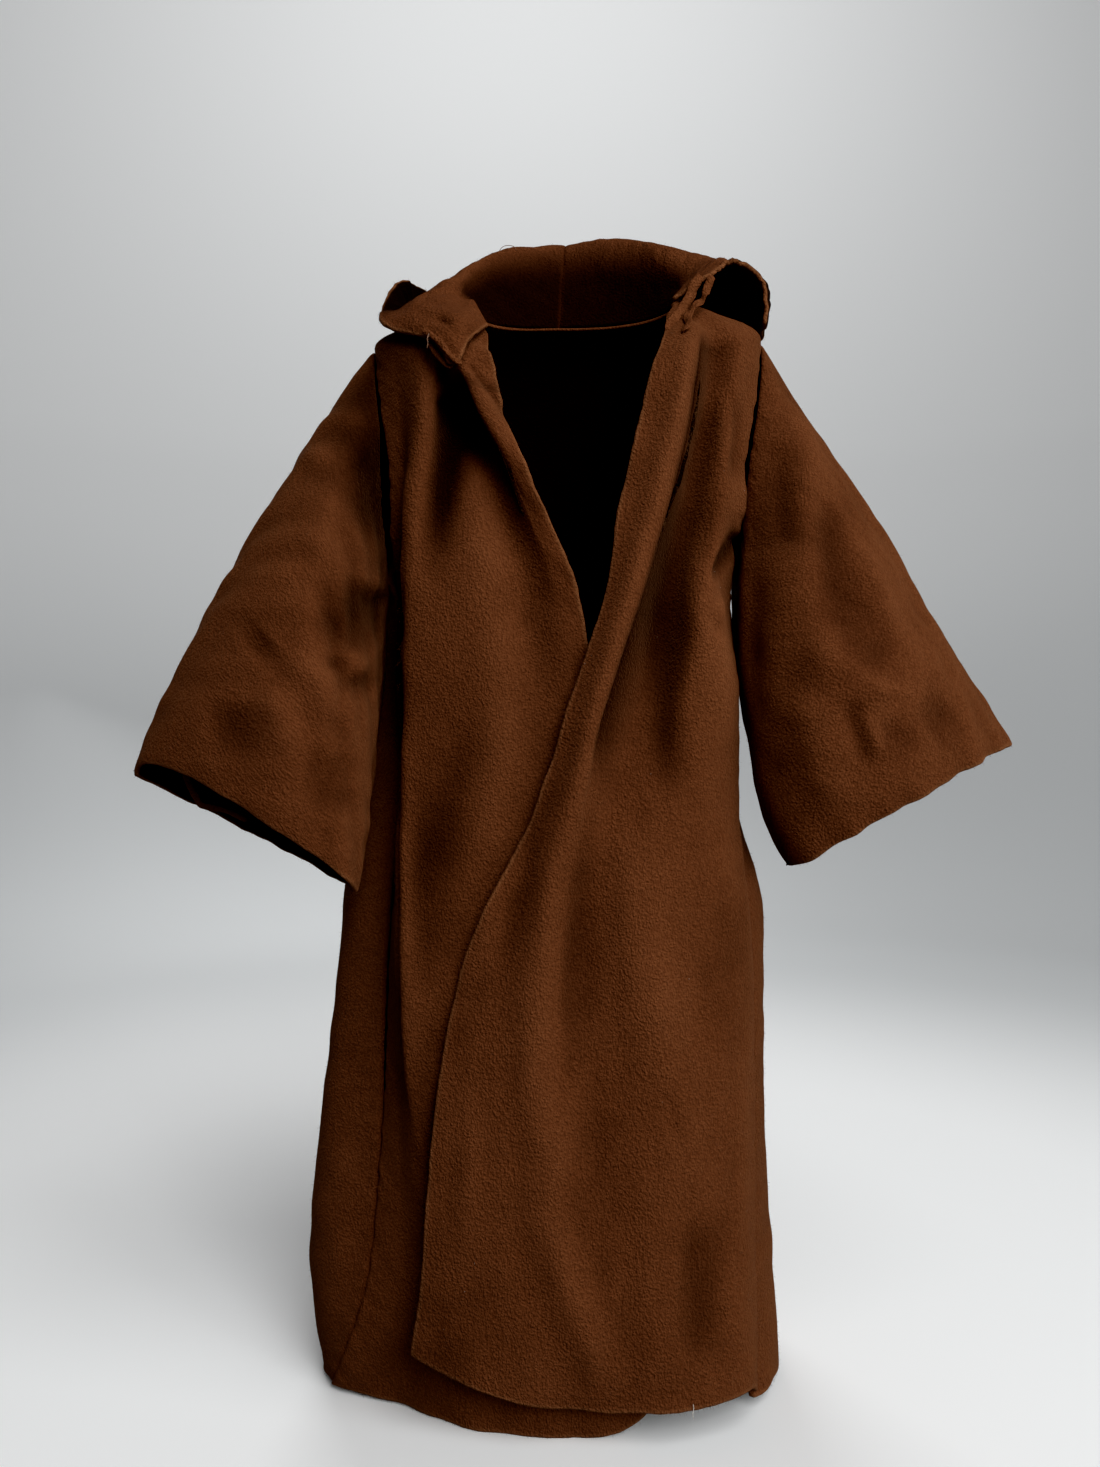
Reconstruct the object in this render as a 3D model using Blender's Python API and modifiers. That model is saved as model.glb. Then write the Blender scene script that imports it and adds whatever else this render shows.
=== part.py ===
"""A doll's hooded robe at its own small size, standing open at the neck as it is worn.

Seven cloth pieces, each a wall of fleece: two fronts, the left one lapped over the right, a back,
two wide sleeves, and a hood of two halves that lies thrown back on the shoulders.

Measurements in the tables are millimetres. Heights are above the lowest point of the hem, and
the part's origin is at NECK_HEIGHT, between the shoulders. X runs to the wearer's left, and the
front of the robe faces -Y. Angles go round the body from the centre front, positive to the
wearer's left, and a "level" is a height on the body that runs on, past the shoulder tip at
TIP_LEVEL, over the shoulder to the neckline at NECK_LEVEL.
"""

import bmesh
import bpy
import numpy as np

MM = 0.001
NECK_HEIGHT = 232.0
CLOTH = 1.2

# Seams: the gap between two pieces, the share of it that each side seam gives way by, and more of it
# at the hem's sharp right corner. A sleeve stands off its armhole by SLEEVE_SEAT, and the hood's
# halves part by the gap over HOOD_SEAM_SPREAD, the millimetres that the hood's whole run measures.
SEAM_GAP = 0.3
SEAM_ROOM, HEM_CORNER_ROOM, HEM_CORNER_HEIGHT = 0.74, 1.3, 30.0
SLEEVE_SEAT = 0.7
HOOD_SEAM_SPREAD = 190.0

# How finely each piece is divided.
YOKE_SPANS, ARMHOLE_SPANS, SKIRT_SPANS = 3, 13, 14
PANEL_SPANS = YOKE_SPANS + ARMHOLE_SPANS + SKIRT_SPANS
FRONT_SPANS_PER_LINE, BACK_SPANS = 3, 36
SLEEVE_LENGTH_SPANS = 12
HOOD_OVER_SPANS, HOOD_HALF_SPANS = 17, 15

# The body: its girth is an oval of SQUARENESS (2 is an ellipse), the armholes bow open by these
# angles, and the left front stands off the right one by the lap's lift.
ARMPIT_LEVEL, TIP_LEVEL, NECK_LEVEL = 170.0, 227.0, 250.0
SQUARENESS = 2.35
RIGHT_ARMHOLE_BOW, LEFT_ARMHOLE_BOW, BACK_ARMHOLE_BOW = 22.0, 19.0, 26.0
ARMHOLE_ROUNDNESS, ARMPIT_EASE = 0.75, 14.0
RIGHT_SHOULDER_SINK, SINK_FROM_LEVEL, SINK_FROM_X = 1.8, 195.0, 30.0
LAP_LIFT_CHEST, LAP_LIFT_WAIST = 1.8, 3.3
LAP_LEVELS, LAP_ANGLES = (160.0, 205.0), (38.0, 72.0)

BROWN = (0.105, 0.042, 0.017, 1.0)
DARK_BROWN = (0.095, 0.038, 0.015, 1.0)

# The robe's girth, a row for each level. Drops say how far the middle of a ring hangs below its sides.
BODY_COLUMNS = ("level", "height", "right", "left", "front", "back", "front_drop", "back_drop")
BODY_ROWS = (
    (0, 0, 52.6, 48.2, 27.0, 36.0, 0, 0),
    (25, 25, 55.2, 46.8, 26.5, 35.0, 0, 0),
    (60, 60, 53.0, 45.8, 24.5, 31.5, 0, 0),
    (100, 100, 48.6, 45.6, 22.0, 26.5, 0, 0),
    (125, 125, 42.5, 40.6, 21.0, 23.5, 0, 0),
    (150, 150, 38.4, 41.0, 20.0, 21.5, 0, 0),
    (170, 170, 38.0, 39.4, 19.0, 21.0, 0, 0),
    (195, 195, 39.8, 42.0, 18.0, 21.0, 1.0, 0),
    (212, 212, 41.0, 44.0, 17.5, 20.5, 5.0, 0),
    (227, 227, 41.2, 44.5, 17.5, 18.5, 11.0, 0.5),
    (239, 232.5, 31.0, 35.0, 18.5, 16.0, 15.0, 1.0),
    (250, 236, 20.0, 26.0, 19.5, 13.0, 24.0, 1.0),
)

# Lines that run down a front from the neck to the hem: x across the body, and push, how far the cloth
# stands out from the body's girth there. The last line of each front is its armhole and side seam.
LEVELS = (0, 30, 60, 90, 125, 150, 170, 186, 200, 213, 227, 250)
RIGHT_FRONT_LINES = {
    "edge": (
        (19.0, 17.0, 15.0, 13.0, 9.5, 6.5, 2.9, -3.2, -8.5, -12.0, -14.0, -15.5),
        (0.0, 0.0, 0.0, 0.0, 0.0, 0.0, 0.4, 1.0, 1.0, 0.6, 0.2, 0.0),
    ),
    "lapel crest": (
        (11.0, 9.0, 7.0, 5.0, 3.0, 1.5, -1.2, -7.0, -13.0, -17.6, -20.4, -17.0),
        (0.0, 0.0, 0.0, 0.0, 0.0, 0.0, 0.6, 2.2, 3.4, 3.8, 2.6, 0.1),
    ),
    "lapel trough": (
        (0.0, -2.0, -4.0, -5.0, -6.0, -7.0, -9.0, -13.5, -18.0, -22.4, -25.0, -18.4),
        (0.0, 0.0, 0.0, -0.2, -0.4, -0.6, -1.4, -3.0, -3.8, -4.0, -2.6, -0.1),
    ),
    "side crest": (
        (-20.0, -23.0, -28.8, -32.2, -33.0, -33.0, -32.6, -31.8, -29.8, -28.8, -30.0, -19.3),
        (-2.6, -1.0, 0.6, 1.6, 2.2, 2.6, 2.8, 2.6, 2.2, 1.8, 1.2, 0.0),
    ),
    "flank": (
        (-36.0, -34.0, -35.5, -38.0, -37.0, -35.4, -34.8, -34.2, -34.4, -35.0, -36.4, -19.8),
        (-5.8, -4.4, -3.4, -3.8, -4.0, -3.4, -2.2, -1.0, -0.6, -0.4, 0.0, 0.0),
    ),
}
RIGHT_SEAM_LINE = (
    (-50.5, -42.0, -41.0, -42.0, -39.6, -37.2, -37.2),
    (-1.0, -4.2, -6.5, -8.0, -6.6, -3.8, -1.2),
)
LEFT_FRONT_LINES = {
    "edge": (
        (-32.0, -27.3, -25.0, -20.2, -5.1, 3.0, 9.2, 11.6, 14.6, 17.0, 19.2, 22.5),
        (0.0, 0.0, 0.0, 0.0, 0.2, 0.4, 0.6, 0.8, 0.8, 0.6, 0.4, 0.0),
    ),
    "lapel crest": (
        (4.0, 0.8, -3.6, -4.6, 2.2, 10.0, 16.4, 21.2, 24.6, 26.8, 28.0, 24.0),
        (0.3, 0.6, 1.0, 1.4, 2.2, 3.2, 3.8, 3.8, 3.6, 3.2, 2.4, 0.3),
    ),
    "lapel trough": (
        (13.0, 10.0, 7.5, 6.5, 11.0, 18.0, 23.6, 27.2, 30.0, 32.2, 33.4, 25.0),
        (1.2, 0.6, -0.2, -0.8, -1.8, -3.6, -4.4, -4.4, -4.0, -3.2, -2.2, -0.2),
    ),
    "chest fold": (
        (24.0, 23.0, 22.0, 21.0, 22.0, 25.5, 29.0, 32.2, 34.8, 36.6, 38.0, 25.6),
        (2.2, 1.8, 1.4, 0.8, 0.6, 0.8, 1.4, 1.6, 1.0, 0.4, 0.0, 0.0),
    ),
    "flank": (
        (33.0, 33.0, 34.0, 36.5, 36.8, 36.6, 34.6, 36.2, 38.0, 39.8, 40.8, 25.9),
        (2.4, 1.8, 1.0, 0.6, 0.6, 0.0, -1.4, 0.8, 0.6, 0.2, 0.0, 0.0),
    ),
}
LEFT_SEAM_LINE = (
    (39.6, 39.6, 40.4, 41.6, 39.6, 39.8, 38.4),
    (0.0, 0.0, -0.2, -1.0, -2.4, -2.0, -1.6),
)
SEAM_LEVELS = LEVELS[:7]

# The hem's height at each x: the lapped front hangs a little clear of the ground.
LEFT_FRONT_HEM = (
    (-32.0, 16.2),
    (-27.0, 12.2),
    (-22.5, 9.2),
    (-19.0, 7.8),
    (-10.0, 7.3),
    (15.0, 7.4),
    (31.0, 8.0),
    (39.5, 5.0),
)
RIGHT_FRONT_HEM = ((-50.5, 1.0), (-33.0, 0.3), (0.0, 0.0), (19.0, 0.6))
BACK_HEM = ((-55.0, 1.0), (0.0, 0.0), (50.0, 2.6))

# Soft folds down the back: where they start and end, how wide they are and how far they stand out.
# The back's points lie evenly between BACK_EDGE_ANGLE on each side, and only those within
# BACK_EDGE_REACH of a side follow the seam there. SEAM_REACH is how far a seam's push is felt.
BACK_EDGE_ANGLE, BACK_EDGE_REACH, SEAM_REACH = 68.0, 0.34, 0.16
FOLDS_FULL_BY, FOLDS_FROM_DEPTH = 0.75, 12.0
BACK_FOLD_COLUMNS = ("top_x", "hem_x", "top_level", "width", "push")
BACK_FOLDS = (
    (-27.0, -42.0, 205, 6.0, 3.4),
    (-17.0, -25.0, 190, 5.0, -3.6),
    (-8.0, -12.0, 200, 5.0, 3.0),
    (2.0, 2.0, 185, 5.0, -3.2),
    (11.0, 15.0, 205, 5.5, 3.4),
    (20.0, 27.0, 190, 5.0, -3.4),
    (28.0, 39.0, 200, 6.0, 3.0),
)

# The back swells out behind the right sleeve, where it shows between the sleeve and the front: how far
# at each level, and the angles where the swell starts, is full, and ends.
SWELL_LEVELS = (88, 108, 125, 140, 155, 165, 172)
SWELL_PUSH = (0.0, 2.2, 4.4, 4.4, 3.2, 1.8, 0.0)
SWELL_START, SWELL_FULL = (-84.0, -100.0), (-118.0, -144.0)

# Each sleeve by its top edge and its underarm, at the armhole and at the cuff, and its fullness
# between them. Tilt raises the front of the cuff above its back, and bow draws its sides up.
CUFF_ROUNDNESS, FULLNESS_SPREAD, ARCH_SPREAD = 0.35, 0.8, 0.6
SLEEVES = {
    "right_sleeve": {
        "side": -1,
        "cuff_top": (-90.6, -12.0, 131.2),
        "cuff_bottom": (-41.5, -19.0, 107.5),
        "cuff_half_depth": 10.5,
        "cuff_tilt": 3.4,
        "front_fullness": 7.5,
        "back_fullness": 6.0,
        "top_arch": 3.4,
        "under_arch": 0.5,
        "cuff_bow": 1.4,
    },
    "left_sleeve": {
        "side": 1,
        "cuff_top": (96.6, -8.0, 137.4),
        "cuff_bottom": (48.0, -15.5, 111.4),
        "cuff_half_depth": 11.0,
        "cuff_tilt": 0.4,
        "front_fullness": 7.0,
        "back_fullness": 6.0,
        "top_arch": 0.6,
        "under_arch": 4.4,
        "cuff_bow": 2.0,
    },
}

# The thrown-back hood, a row for each rib from the right front corner round the neck to the left one.
# A rib stands over the neckline at neck_angle, as high as its seat, goes over the crest of the roll,
# then in and out round the pouch that hangs on the back, and up to the rim.
HOOD_COLUMNS = ("neck_angle", "seat", "crest", "inner", "outer", "rim")
HOOD_RIBS = (
    (-49, 1.3, (-18.8, -18.8, 221.8), (-20.0, -21.2, 218.4), (-20.8, -21.8, 216.0), (-22.8, -21.8, 215.4)),
    (-58, 1.3, (-21.8, -18.6, 226.2), (-24.2, -19.6, 223.6), (-25.4, -19.8, 222.2), (-26.6, -19.6, 221.2)),
    (-71, 1.2, (-29.0, -9.6, 233.0), (-32.4, -10.6, 230.8), (-34.8, -11.2, 228.8), (-37.2, -11.6, 226.6)),
    (-88, 0.8, (-24.2, -3.0, 239.4), (-29.4, -1.6, 236.4), (-34.4, -1.6, 233.2), (-38.8, -2.4, 234.6)),
    (-110, 0.5, (-20.8, 4.0, 245.4), (-26.0, 10.0, 237.0), (-33.6, 12.6, 235.0), (-36.0, 7.0, 243.6)),
    (-140, 0.5, (-14.6, 14.4, 253.0), (-19.4, 23.4, 215.0), (-25.4, 30.4, 214.0), (-29.0, 23.6, 246.4)),
    (-180, 0.5, (1.5, 21.4, 256.8), (1.5, 26.4, 202.0), (1.5, 36.0, 201.0), (1.5, 37.0, 243.0)),
    (-218, 0.5, (16.6, 16.8, 257.0), (23.0, 25.0, 221.0), (29.6, 32.0, 214.6), (34.0, 32.0, 237.6)),
    (-245, 0.6, (25.6, 10.4, 252.6), (34.4, 15.2, 245.6), (41.4, 20.0, 238.2), (45.4, 21.0, 232.2)),
    (-262, 0.7, (32.0, 5.6, 247.6), (39.2, 6.6, 246.6), (45.2, 7.4, 239.2), (46.0, 7.4, 230.6)),
    (-278, 0.8, (32.6, -2.6, 245.0), (39.8, -1.6, 244.8), (45.8, -1.0, 238.4), (45.2, -1.0, 230.0)),
    (-290, 0.9, (31.8, -8.4, 238.6), (37.4, -6.4, 242.6), (43.8, -5.6, 239.2), (44.6, -6.6, 229.4)),
)


def start_empty():
    """Removes whatever the scene holds, and makes the robe's own collection."""
    for old in list(bpy.data.objects):
        bpy.data.objects.remove(old)
    collection = bpy.data.collections.new("hooded_robe")
    bpy.context.scene.collection.children.link(collection)
    return collection


def fleece(name, colour):
    """A matt brown cloth material."""
    material = bpy.data.materials.new(name)
    material.use_nodes = True
    shader = material.node_tree.nodes["Principled BSDF"]
    shader.inputs["Base Color"].default_value = colour
    shader.inputs["Roughness"].default_value = 0.95
    shader.inputs["Metallic"].default_value = 0.0
    return material


def steady_slopes(rise):
    """Slopes for a curve whose steps rise so: level at each turning point, so that it never overshoots."""
    same_way = rise[:-1] * rise[1:] > 0
    mean = 2 * rise[:-1] * rise[1:] / np.where(same_way, rise[:-1] + rise[1:], 1.0)
    return np.concatenate([rise[:1], np.where(same_way, mean, 0.0), rise[-1:]])


def hermite(t, here, slope_here, there, slope_there):
    """The point a share t of the way from here to there, leaving and arriving at the given slopes."""
    return (
        (1 + 2 * t) * (1 - t) ** 2 * here
        + t * (1 - t) ** 2 * slope_here
        + t**2 * (3 - 2 * t) * there
        - t**2 * (1 - t) * slope_there
    )


def curve_through(stations, values, at):
    """Reads a smooth curve through values at stations, with slopes that never overshoot."""
    x = np.asarray(stations, float)
    y = np.asarray(values, float)
    at = np.clip(np.asarray(at, float), x[0], x[-1])
    step = np.diff(x)
    slope = steady_slopes(np.diff(y) / step)
    k = np.clip(np.searchsorted(x, at, side="right") - 1, 0, len(x) - 2)
    return hermite((at - x[k]) / step[k], y[k], step[k] * slope[k], y[k + 1], step[k] * slope[k + 1])


def mix_lines(lines, place):
    """Goes smoothly from line to line as place goes from 0 to the last one."""
    stack = np.stack(lines)
    slope = steady_slopes(np.diff(stack, axis=0))
    k = np.clip(place.astype(int), 0, len(lines) - 2)

    def pick(values, index):
        return np.take_along_axis(values, index[None], axis=0)[0]

    return hermite(place - k, pick(stack, k), pick(slope, k), pick(stack, k + 1), pick(slope, k + 1))


def catmull_rom(near, t):
    """The point a share t of the way from the second to the third of four points in a row."""
    before, here, there, after = near
    return 0.5 * (
        2 * here
        + (there - before) * t
        + (2 * before - 5 * here + 4 * there - after) * t**2
        + (3 * here - before - 3 * there + after) * t**3
    )


def loose_curve_through(values, at):
    """Reads a rounder curve through evenly spaced values. at goes from 0 to 1."""
    last = len(values) - 1
    spot = np.clip(np.asarray(at, float), 0, 1) * last
    k = np.clip(spot.astype(int), 0, last - 1)
    t = (spot - k).reshape(spot.shape + (1,) * (values.ndim - 1))
    near = [values[np.clip(k + step, 0, last)] for step in (-1, 0, 1, 2)]
    return catmull_rom(near, t)


def smooth_step(low, high, value):
    """0 below low, 1 above high, and a smooth rise between them."""
    t = np.clip((np.asarray(value, float) - low) / (high - low), 0, 1)
    return t * t * (3 - 2 * t)


BODY = {name: np.array([row[i] for row in BODY_ROWS], float) for i, name in enumerate(BODY_COLUMNS)}


def girth(column, level):
    """One measurement of the body's girth at a level."""
    return curve_through(BODY["level"], BODY[column], level)


def body_point(angle, level, push):
    """A point on the body's girth, pushed straight out from it by push."""
    turn = np.radians(angle)
    across, ahead = np.sin(turn), np.cos(turn)
    half_width = np.where(across < 0, girth("right", level), girth("left", level))
    half_depth = np.where(ahead > 0, girth("front", level), girth("back", level))
    power = 2 / SQUARENESS
    x = half_width * np.sign(across) * np.abs(across) ** power
    y = -half_depth * np.sign(ahead) * np.abs(ahead) ** power
    out_x = np.sign(x) * np.abs(x / half_width) ** (SQUARENESS - 1) / half_width
    out_y = np.sign(y) * np.abs(y / half_depth) ** (SQUARENESS - 1) / half_depth
    length = np.hypot(out_x, out_y)
    drop = np.where(ahead > 0, girth("front_drop", level), girth("back_drop", level)) * ahead**2
    sink = RIGHT_SHOULDER_SINK * smooth_step(SINK_FROM_LEVEL, TIP_LEVEL, level)
    height = girth("height", level) - drop - sink * smooth_step(0, SINK_FROM_X, -x)
    return np.stack([x + push * out_x / length, y + push * out_y / length, height], axis=-1)


def angle_at(x, level):
    """The angle on the front of the body's girth whose point lies at x."""
    half_width = np.where(x < 0, girth("right", level), girth("left", level))
    share = np.clip(np.abs(x) / half_width, 0, 1)
    return np.degrees(np.arcsin(share ** (SQUARENESS / 2))) * np.sign(x)


def armhole_bow(level):
    """How open the armhole is at a level, from 0 at the armpit and the shoulder tip to 1 between them."""
    share = np.clip((level - ARMPIT_LEVEL) / (TIP_LEVEL - ARMPIT_LEVEL), 0, 1)
    return np.abs(np.sin(np.pi * share)) ** ARMHOLE_ROUNDNESS


def seam_angle(side, level, behind=False):
    """The angle of a panel's outer edge: the shoulder seam, the armhole and the side seam."""
    line, _ = RIGHT_SEAM_LINE if side < 0 else LEFT_SEAM_LINE
    below = angle_at(curve_through(SEAM_LEVELS, line, level), level)
    bow = -(RIGHT_ARMHOLE_BOW if side < 0 else LEFT_ARMHOLE_BOW)
    if behind:
        bow = BACK_ARMHOLE_BOW
    above = side * (90 + bow * armhole_bow(level))
    return below + (above - below) * smooth_step(ARMPIT_LEVEL - ARMPIT_EASE, ARMPIT_LEVEL + ARMPIT_EASE, level)


def seam_push(side, level):
    """How far the side seam stands out, or in, from the body's girth."""
    _, push = RIGHT_SEAM_LINE if side < 0 else LEFT_SEAM_LINE
    below = curve_through(SEAM_LEVELS, push, level)
    return below * (1 - smooth_step(ARMPIT_LEVEL, ARMPIT_LEVEL + ARMPIT_EASE, level))


def seam_gap_angle(side, level):
    """Half of the gap that parts two pieces at a seam, as an angle.

    The right side seam turns a sharp corner at the hem, where the two walls need more room.
    """
    corner = 1 - smooth_step(4, HEM_CORNER_HEIGHT, level) if side < 0 else 0
    half_gap = SEAM_GAP * (SEAM_ROOM + HEM_CORNER_ROOM * corner)
    return np.degrees(half_gap / girth("front", level))


def panel_level(down, bottom):
    """The level at each step down a panel, so that every panel and sleeve meets at the same points."""
    yoke = YOKE_SPANS / PANEL_SPANS
    chest = (YOKE_SPANS + ARMHOLE_SPANS) / PANEL_SPANS
    upper = np.interp(down, (0, yoke, chest), (NECK_LEVEL, TIP_LEVEL, ARMPIT_LEVEL))
    return upper + (bottom - ARMPIT_LEVEL) * np.clip((down - chest) / (1 - chest), 0, 1)


def front_surface(side, lines, hem, down, across):
    """Points of a front. down goes from the neck to the hem, and across from its edge to its side seam."""
    down, across = np.broadcast_arrays(down, across)
    edge_x = lines["edge"][0]
    hem_x, hem_height = np.array(hem, float).T
    side_x = (RIGHT_SEAM_LINE if side < 0 else LEFT_SEAM_LINE)[0][0]
    bottom = np.interp(edge_x[0] + across * (side_x - edge_x[0]), hem_x, hem_height)
    level = panel_level(down, bottom)
    angles = [angle_at(curve_through(LEVELS, x, level), level) for x, _ in lines.values()]
    pushes = [curve_through(LEVELS, push, level) for _, push in lines.values()]
    angles.append(seam_angle(side, level) - side * seam_gap_angle(side, level))
    pushes.append(seam_push(side, level))
    angle = mix_lines(angles, across * len(lines))
    push = mix_lines(pushes, across * len(lines))
    if side > 0:
        push = push + lap_lift(angle, level)
    return body_point(angle, level, push)


def lap_lift(angle, level):
    """How far the left front stands off the body's girth where it laps over the right one."""
    lift = LAP_LIFT_WAIST + (LAP_LIFT_CHEST - LAP_LIFT_WAIST) * smooth_step(*LAP_LEVELS, level)
    return lift * (1 - smooth_step(*LAP_ANGLES, angle)) * (1 - smooth_step(TIP_LEVEL, NECK_LEVEL, level))


def back_surface(down, across):
    """Points of the back, down from the neck to the hem and across from the right side seam to the left."""
    down, across = np.broadcast_arrays(down, across)
    hem_x, hem_height = np.array(BACK_HEM, float).T
    bottom = np.interp(hem_x[0] + across * (hem_x[-1] - hem_x[0]), hem_x, hem_height)
    level = panel_level(down, bottom)
    evenly = -BACK_EDGE_ANGLE + across * (2 * BACK_EDGE_ANGLE - 360)
    right_shift = seam_angle(-1, level, behind=True) - seam_gap_angle(-1, level) + BACK_EDGE_ANGLE
    left_shift = seam_angle(1, level, behind=True) + seam_gap_angle(1, level) - BACK_EDGE_ANGLE
    angle = evenly + right_shift * (1 - smooth_step(0, BACK_EDGE_REACH, across))
    angle = angle + left_shift * smooth_step(1 - BACK_EDGE_REACH, 1, across)
    plain = body_point(angle, level, np.zeros_like(level))
    push = np.zeros_like(level)
    for row in BACK_FOLDS:
        fold = dict(zip(BACK_FOLD_COLUMNS, row))
        fallen = np.clip(1 - level / fold["top_level"], 0, 1)
        middle = fold["top_x"] + (fold["hem_x"] - fold["top_x"]) * fallen
        ridge = np.exp(-(((plain[..., 0] - middle) / fold["width"]) ** 2))
        fade = smooth_step(0, FOLDS_FULL_BY, fallen) * smooth_step(0, FOLDS_FROM_DEPTH, plain[..., 1])
        push += fold["push"] * ridge * fade
    push += back_swell(angle, level)
    push += seam_push(-1, level) * (1 - smooth_step(0, SEAM_REACH, across))
    push += seam_push(1, level) * smooth_step(1 - SEAM_REACH, 1, across)
    return body_point(angle, level, push)


def back_swell(angle, level):
    """How far the back swells out behind the right sleeve."""
    start = 1 - smooth_step(SWELL_START[1], SWELL_START[0], angle)
    end = smooth_step(SWELL_FULL[1], SWELL_FULL[0], angle)
    return curve_through(SWELL_LEVELS, SWELL_PUSH, level) * start * end


def armhole_loop(side, turn):
    """The body's armhole. turn goes once round, from the shoulder tip down the front and up behind."""
    ahead = turn <= 0.5
    share = np.where(ahead, turn, 1 - turn) * 2
    level = TIP_LEVEL + (ARMPIT_LEVEL - TIP_LEVEL) * share
    angle = np.where(ahead, seam_angle(side, level), seam_angle(side, level, behind=True))
    return body_point(angle, level, np.zeros_like(level))


def sleeve_surface(cut, along, turn):
    """Points of a sleeve, along from the armhole to the cuff, and turn once round from its top edge."""
    along, turn = np.broadcast_arrays(along, turn)
    side = cut["side"]
    armhole = armhole_loop(side, turn) + np.array([side * SLEEVE_SEAT, 0.0, 0.0])
    lower = (1 - np.cos(2 * np.pi * turn)) / 2
    ahead = np.sin(2 * np.pi * turn)
    cuff = cuff_loop(cut, lower, ahead)
    points = armhole + (cuff - armhole) * along[..., None]
    swell = np.abs(np.sin(np.pi * along))
    fullness = np.where(ahead > 0, cut["front_fullness"], cut["back_fullness"])
    points[..., 1] -= fullness * ahead * swell**FULLNESS_SPREAD
    run = np.array(cut["cuff_top"]) - armhole_loop(side, np.zeros(1))[0]
    outward = np.array([-run[2], 0.0, run[0]]) * side / np.hypot(run[0], run[2])
    arch = cut["top_arch"] * (1 - lower) ** 2 - cut["under_arch"] * lower**2
    return points + outward * (arch * swell**ARCH_SPREAD)[..., None]


def cuff_loop(cut, lower, ahead):
    """Points of the open cuff, lower from its top corner to its bottom one, and ahead towards the front."""
    top, bottom = np.array(cut["cuff_top"]), np.array(cut["cuff_bottom"])
    cuff = top + (bottom - top) * lower[..., None]
    cuff[..., 1] -= cut["cuff_half_depth"] * ahead * np.abs(ahead) ** CUFF_ROUNDNESS
    cuff[..., 2] += cut["cuff_tilt"] * ahead
    inward = armhole_loop(cut["side"], np.array([0.0, 0.5])).mean(axis=0) - (top + bottom) / 2
    return cuff + inward / np.linalg.norm(inward) * (cut["cuff_bow"] * np.abs(ahead))[..., None]


def hood_rib_points():
    """The hood's control points: for each rib, its five points from the neckline to the rim."""
    ribs = []
    for row in HOOD_RIBS:
        rib = dict(zip(HOOD_COLUMNS, row))
        neck = body_point(np.array(float(rib["neck_angle"])), np.array(NECK_LEVEL), np.array(0.0))
        neck[2] += rib["seat"]
        ribs.append([neck] + [np.array(rib[column]) for column in HOOD_COLUMNS[2:]])
    return np.array(ribs)


def hood_surface(along, over):
    """Points of the hood, from the right corner to the left one along, and from the neck to the rim over."""
    along, over = np.broadcast_arrays(along, over)
    on_ribs = loose_curve_through(hood_rib_points().transpose(1, 0, 2), over.reshape(-1))
    place = along.reshape(-1)
    last = on_ribs.shape[1] - 1
    spot = np.clip(place, 0, 1) * last
    k = np.clip(spot.astype(int), 0, last - 1)
    each = np.arange(len(place))
    near = [on_ribs[each, np.clip(k + step, 0, last)] for step in (-1, 0, 1, 2)]
    points = catmull_rom(near, (spot - k)[:, None])
    return points.reshape(along.shape + (3,))


def cloth_wall(name, points, collection, material, closed=False, side_of_wall=-1.0):
    """Makes a wall of cloth from a grid of points: an open surface, given its thickness by Solidify."""
    rows, columns = points.shape[:2]
    cloth = bmesh.new()
    bmesh.ops.create_grid(cloth, x_segments=columns - 1, y_segments=rows - 1, size=1.0)
    cloth.verts.ensure_lookup_table()
    flat = points.reshape(-1, 3)
    for vertex, (x, y, height) in zip(cloth.verts, flat):
        vertex.co = (x * MM, y * MM, (height - NECK_HEIGHT) * MM)
    if closed:
        bmesh.ops.remove_doubles(cloth, verts=cloth.verts, dist=0.01 * MM)
    mesh = bpy.data.meshes.new(name)
    cloth.to_mesh(mesh)
    cloth.free()
    mesh.shade_smooth()
    wall = bpy.data.objects.new(name, mesh)
    collection.objects.link(wall)
    mesh.materials.append(material)
    thickness = wall.modifiers.new("cloth thickness", "SOLIDIFY")
    thickness.thickness = CLOTH * MM
    thickness.offset = side_of_wall
    thickness.use_even_offset = False
    thickness.use_quality_normals = True
    return wall


def grid(down_spans, across_spans):
    """Two arrays from 0 to 1, down and across."""
    return np.linspace(0, 1, down_spans + 1)[:, None], np.linspace(0, 1, across_spans + 1)[None, :]


def build_fronts(collection, material):
    """The two fronts, the wearer's left one lapped over the right."""
    down, across = grid(PANEL_SPANS, FRONT_SPANS_PER_LINE * len(RIGHT_FRONT_LINES))
    right = front_surface(-1, RIGHT_FRONT_LINES, RIGHT_FRONT_HEM, down, across)
    cloth_wall("right_front", right, collection, material)
    left = front_surface(1, LEFT_FRONT_LINES, LEFT_FRONT_HEM, down, across)
    cloth_wall("left_front", left[:, ::-1], collection, material)


def build_back(collection, material):
    """The back, in one piece from side seam to side seam."""
    down, across = grid(PANEL_SPANS, BACK_SPANS)
    cloth_wall("back", back_surface(down, across), collection, material)


def build_sleeves(collection, material):
    """The two wide sleeves, each a tube from its armhole to its open cuff."""
    for name, cut in SLEEVES.items():
        along, turn = grid(SLEEVE_LENGTH_SPANS, 2 * ARMHOLE_SPANS)
        points = sleeve_surface(cut, along, turn)
        if cut["side"] < 0:
            points = points[:, ::-1]
        cloth_wall(name, points, collection, material, closed=True)


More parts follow.
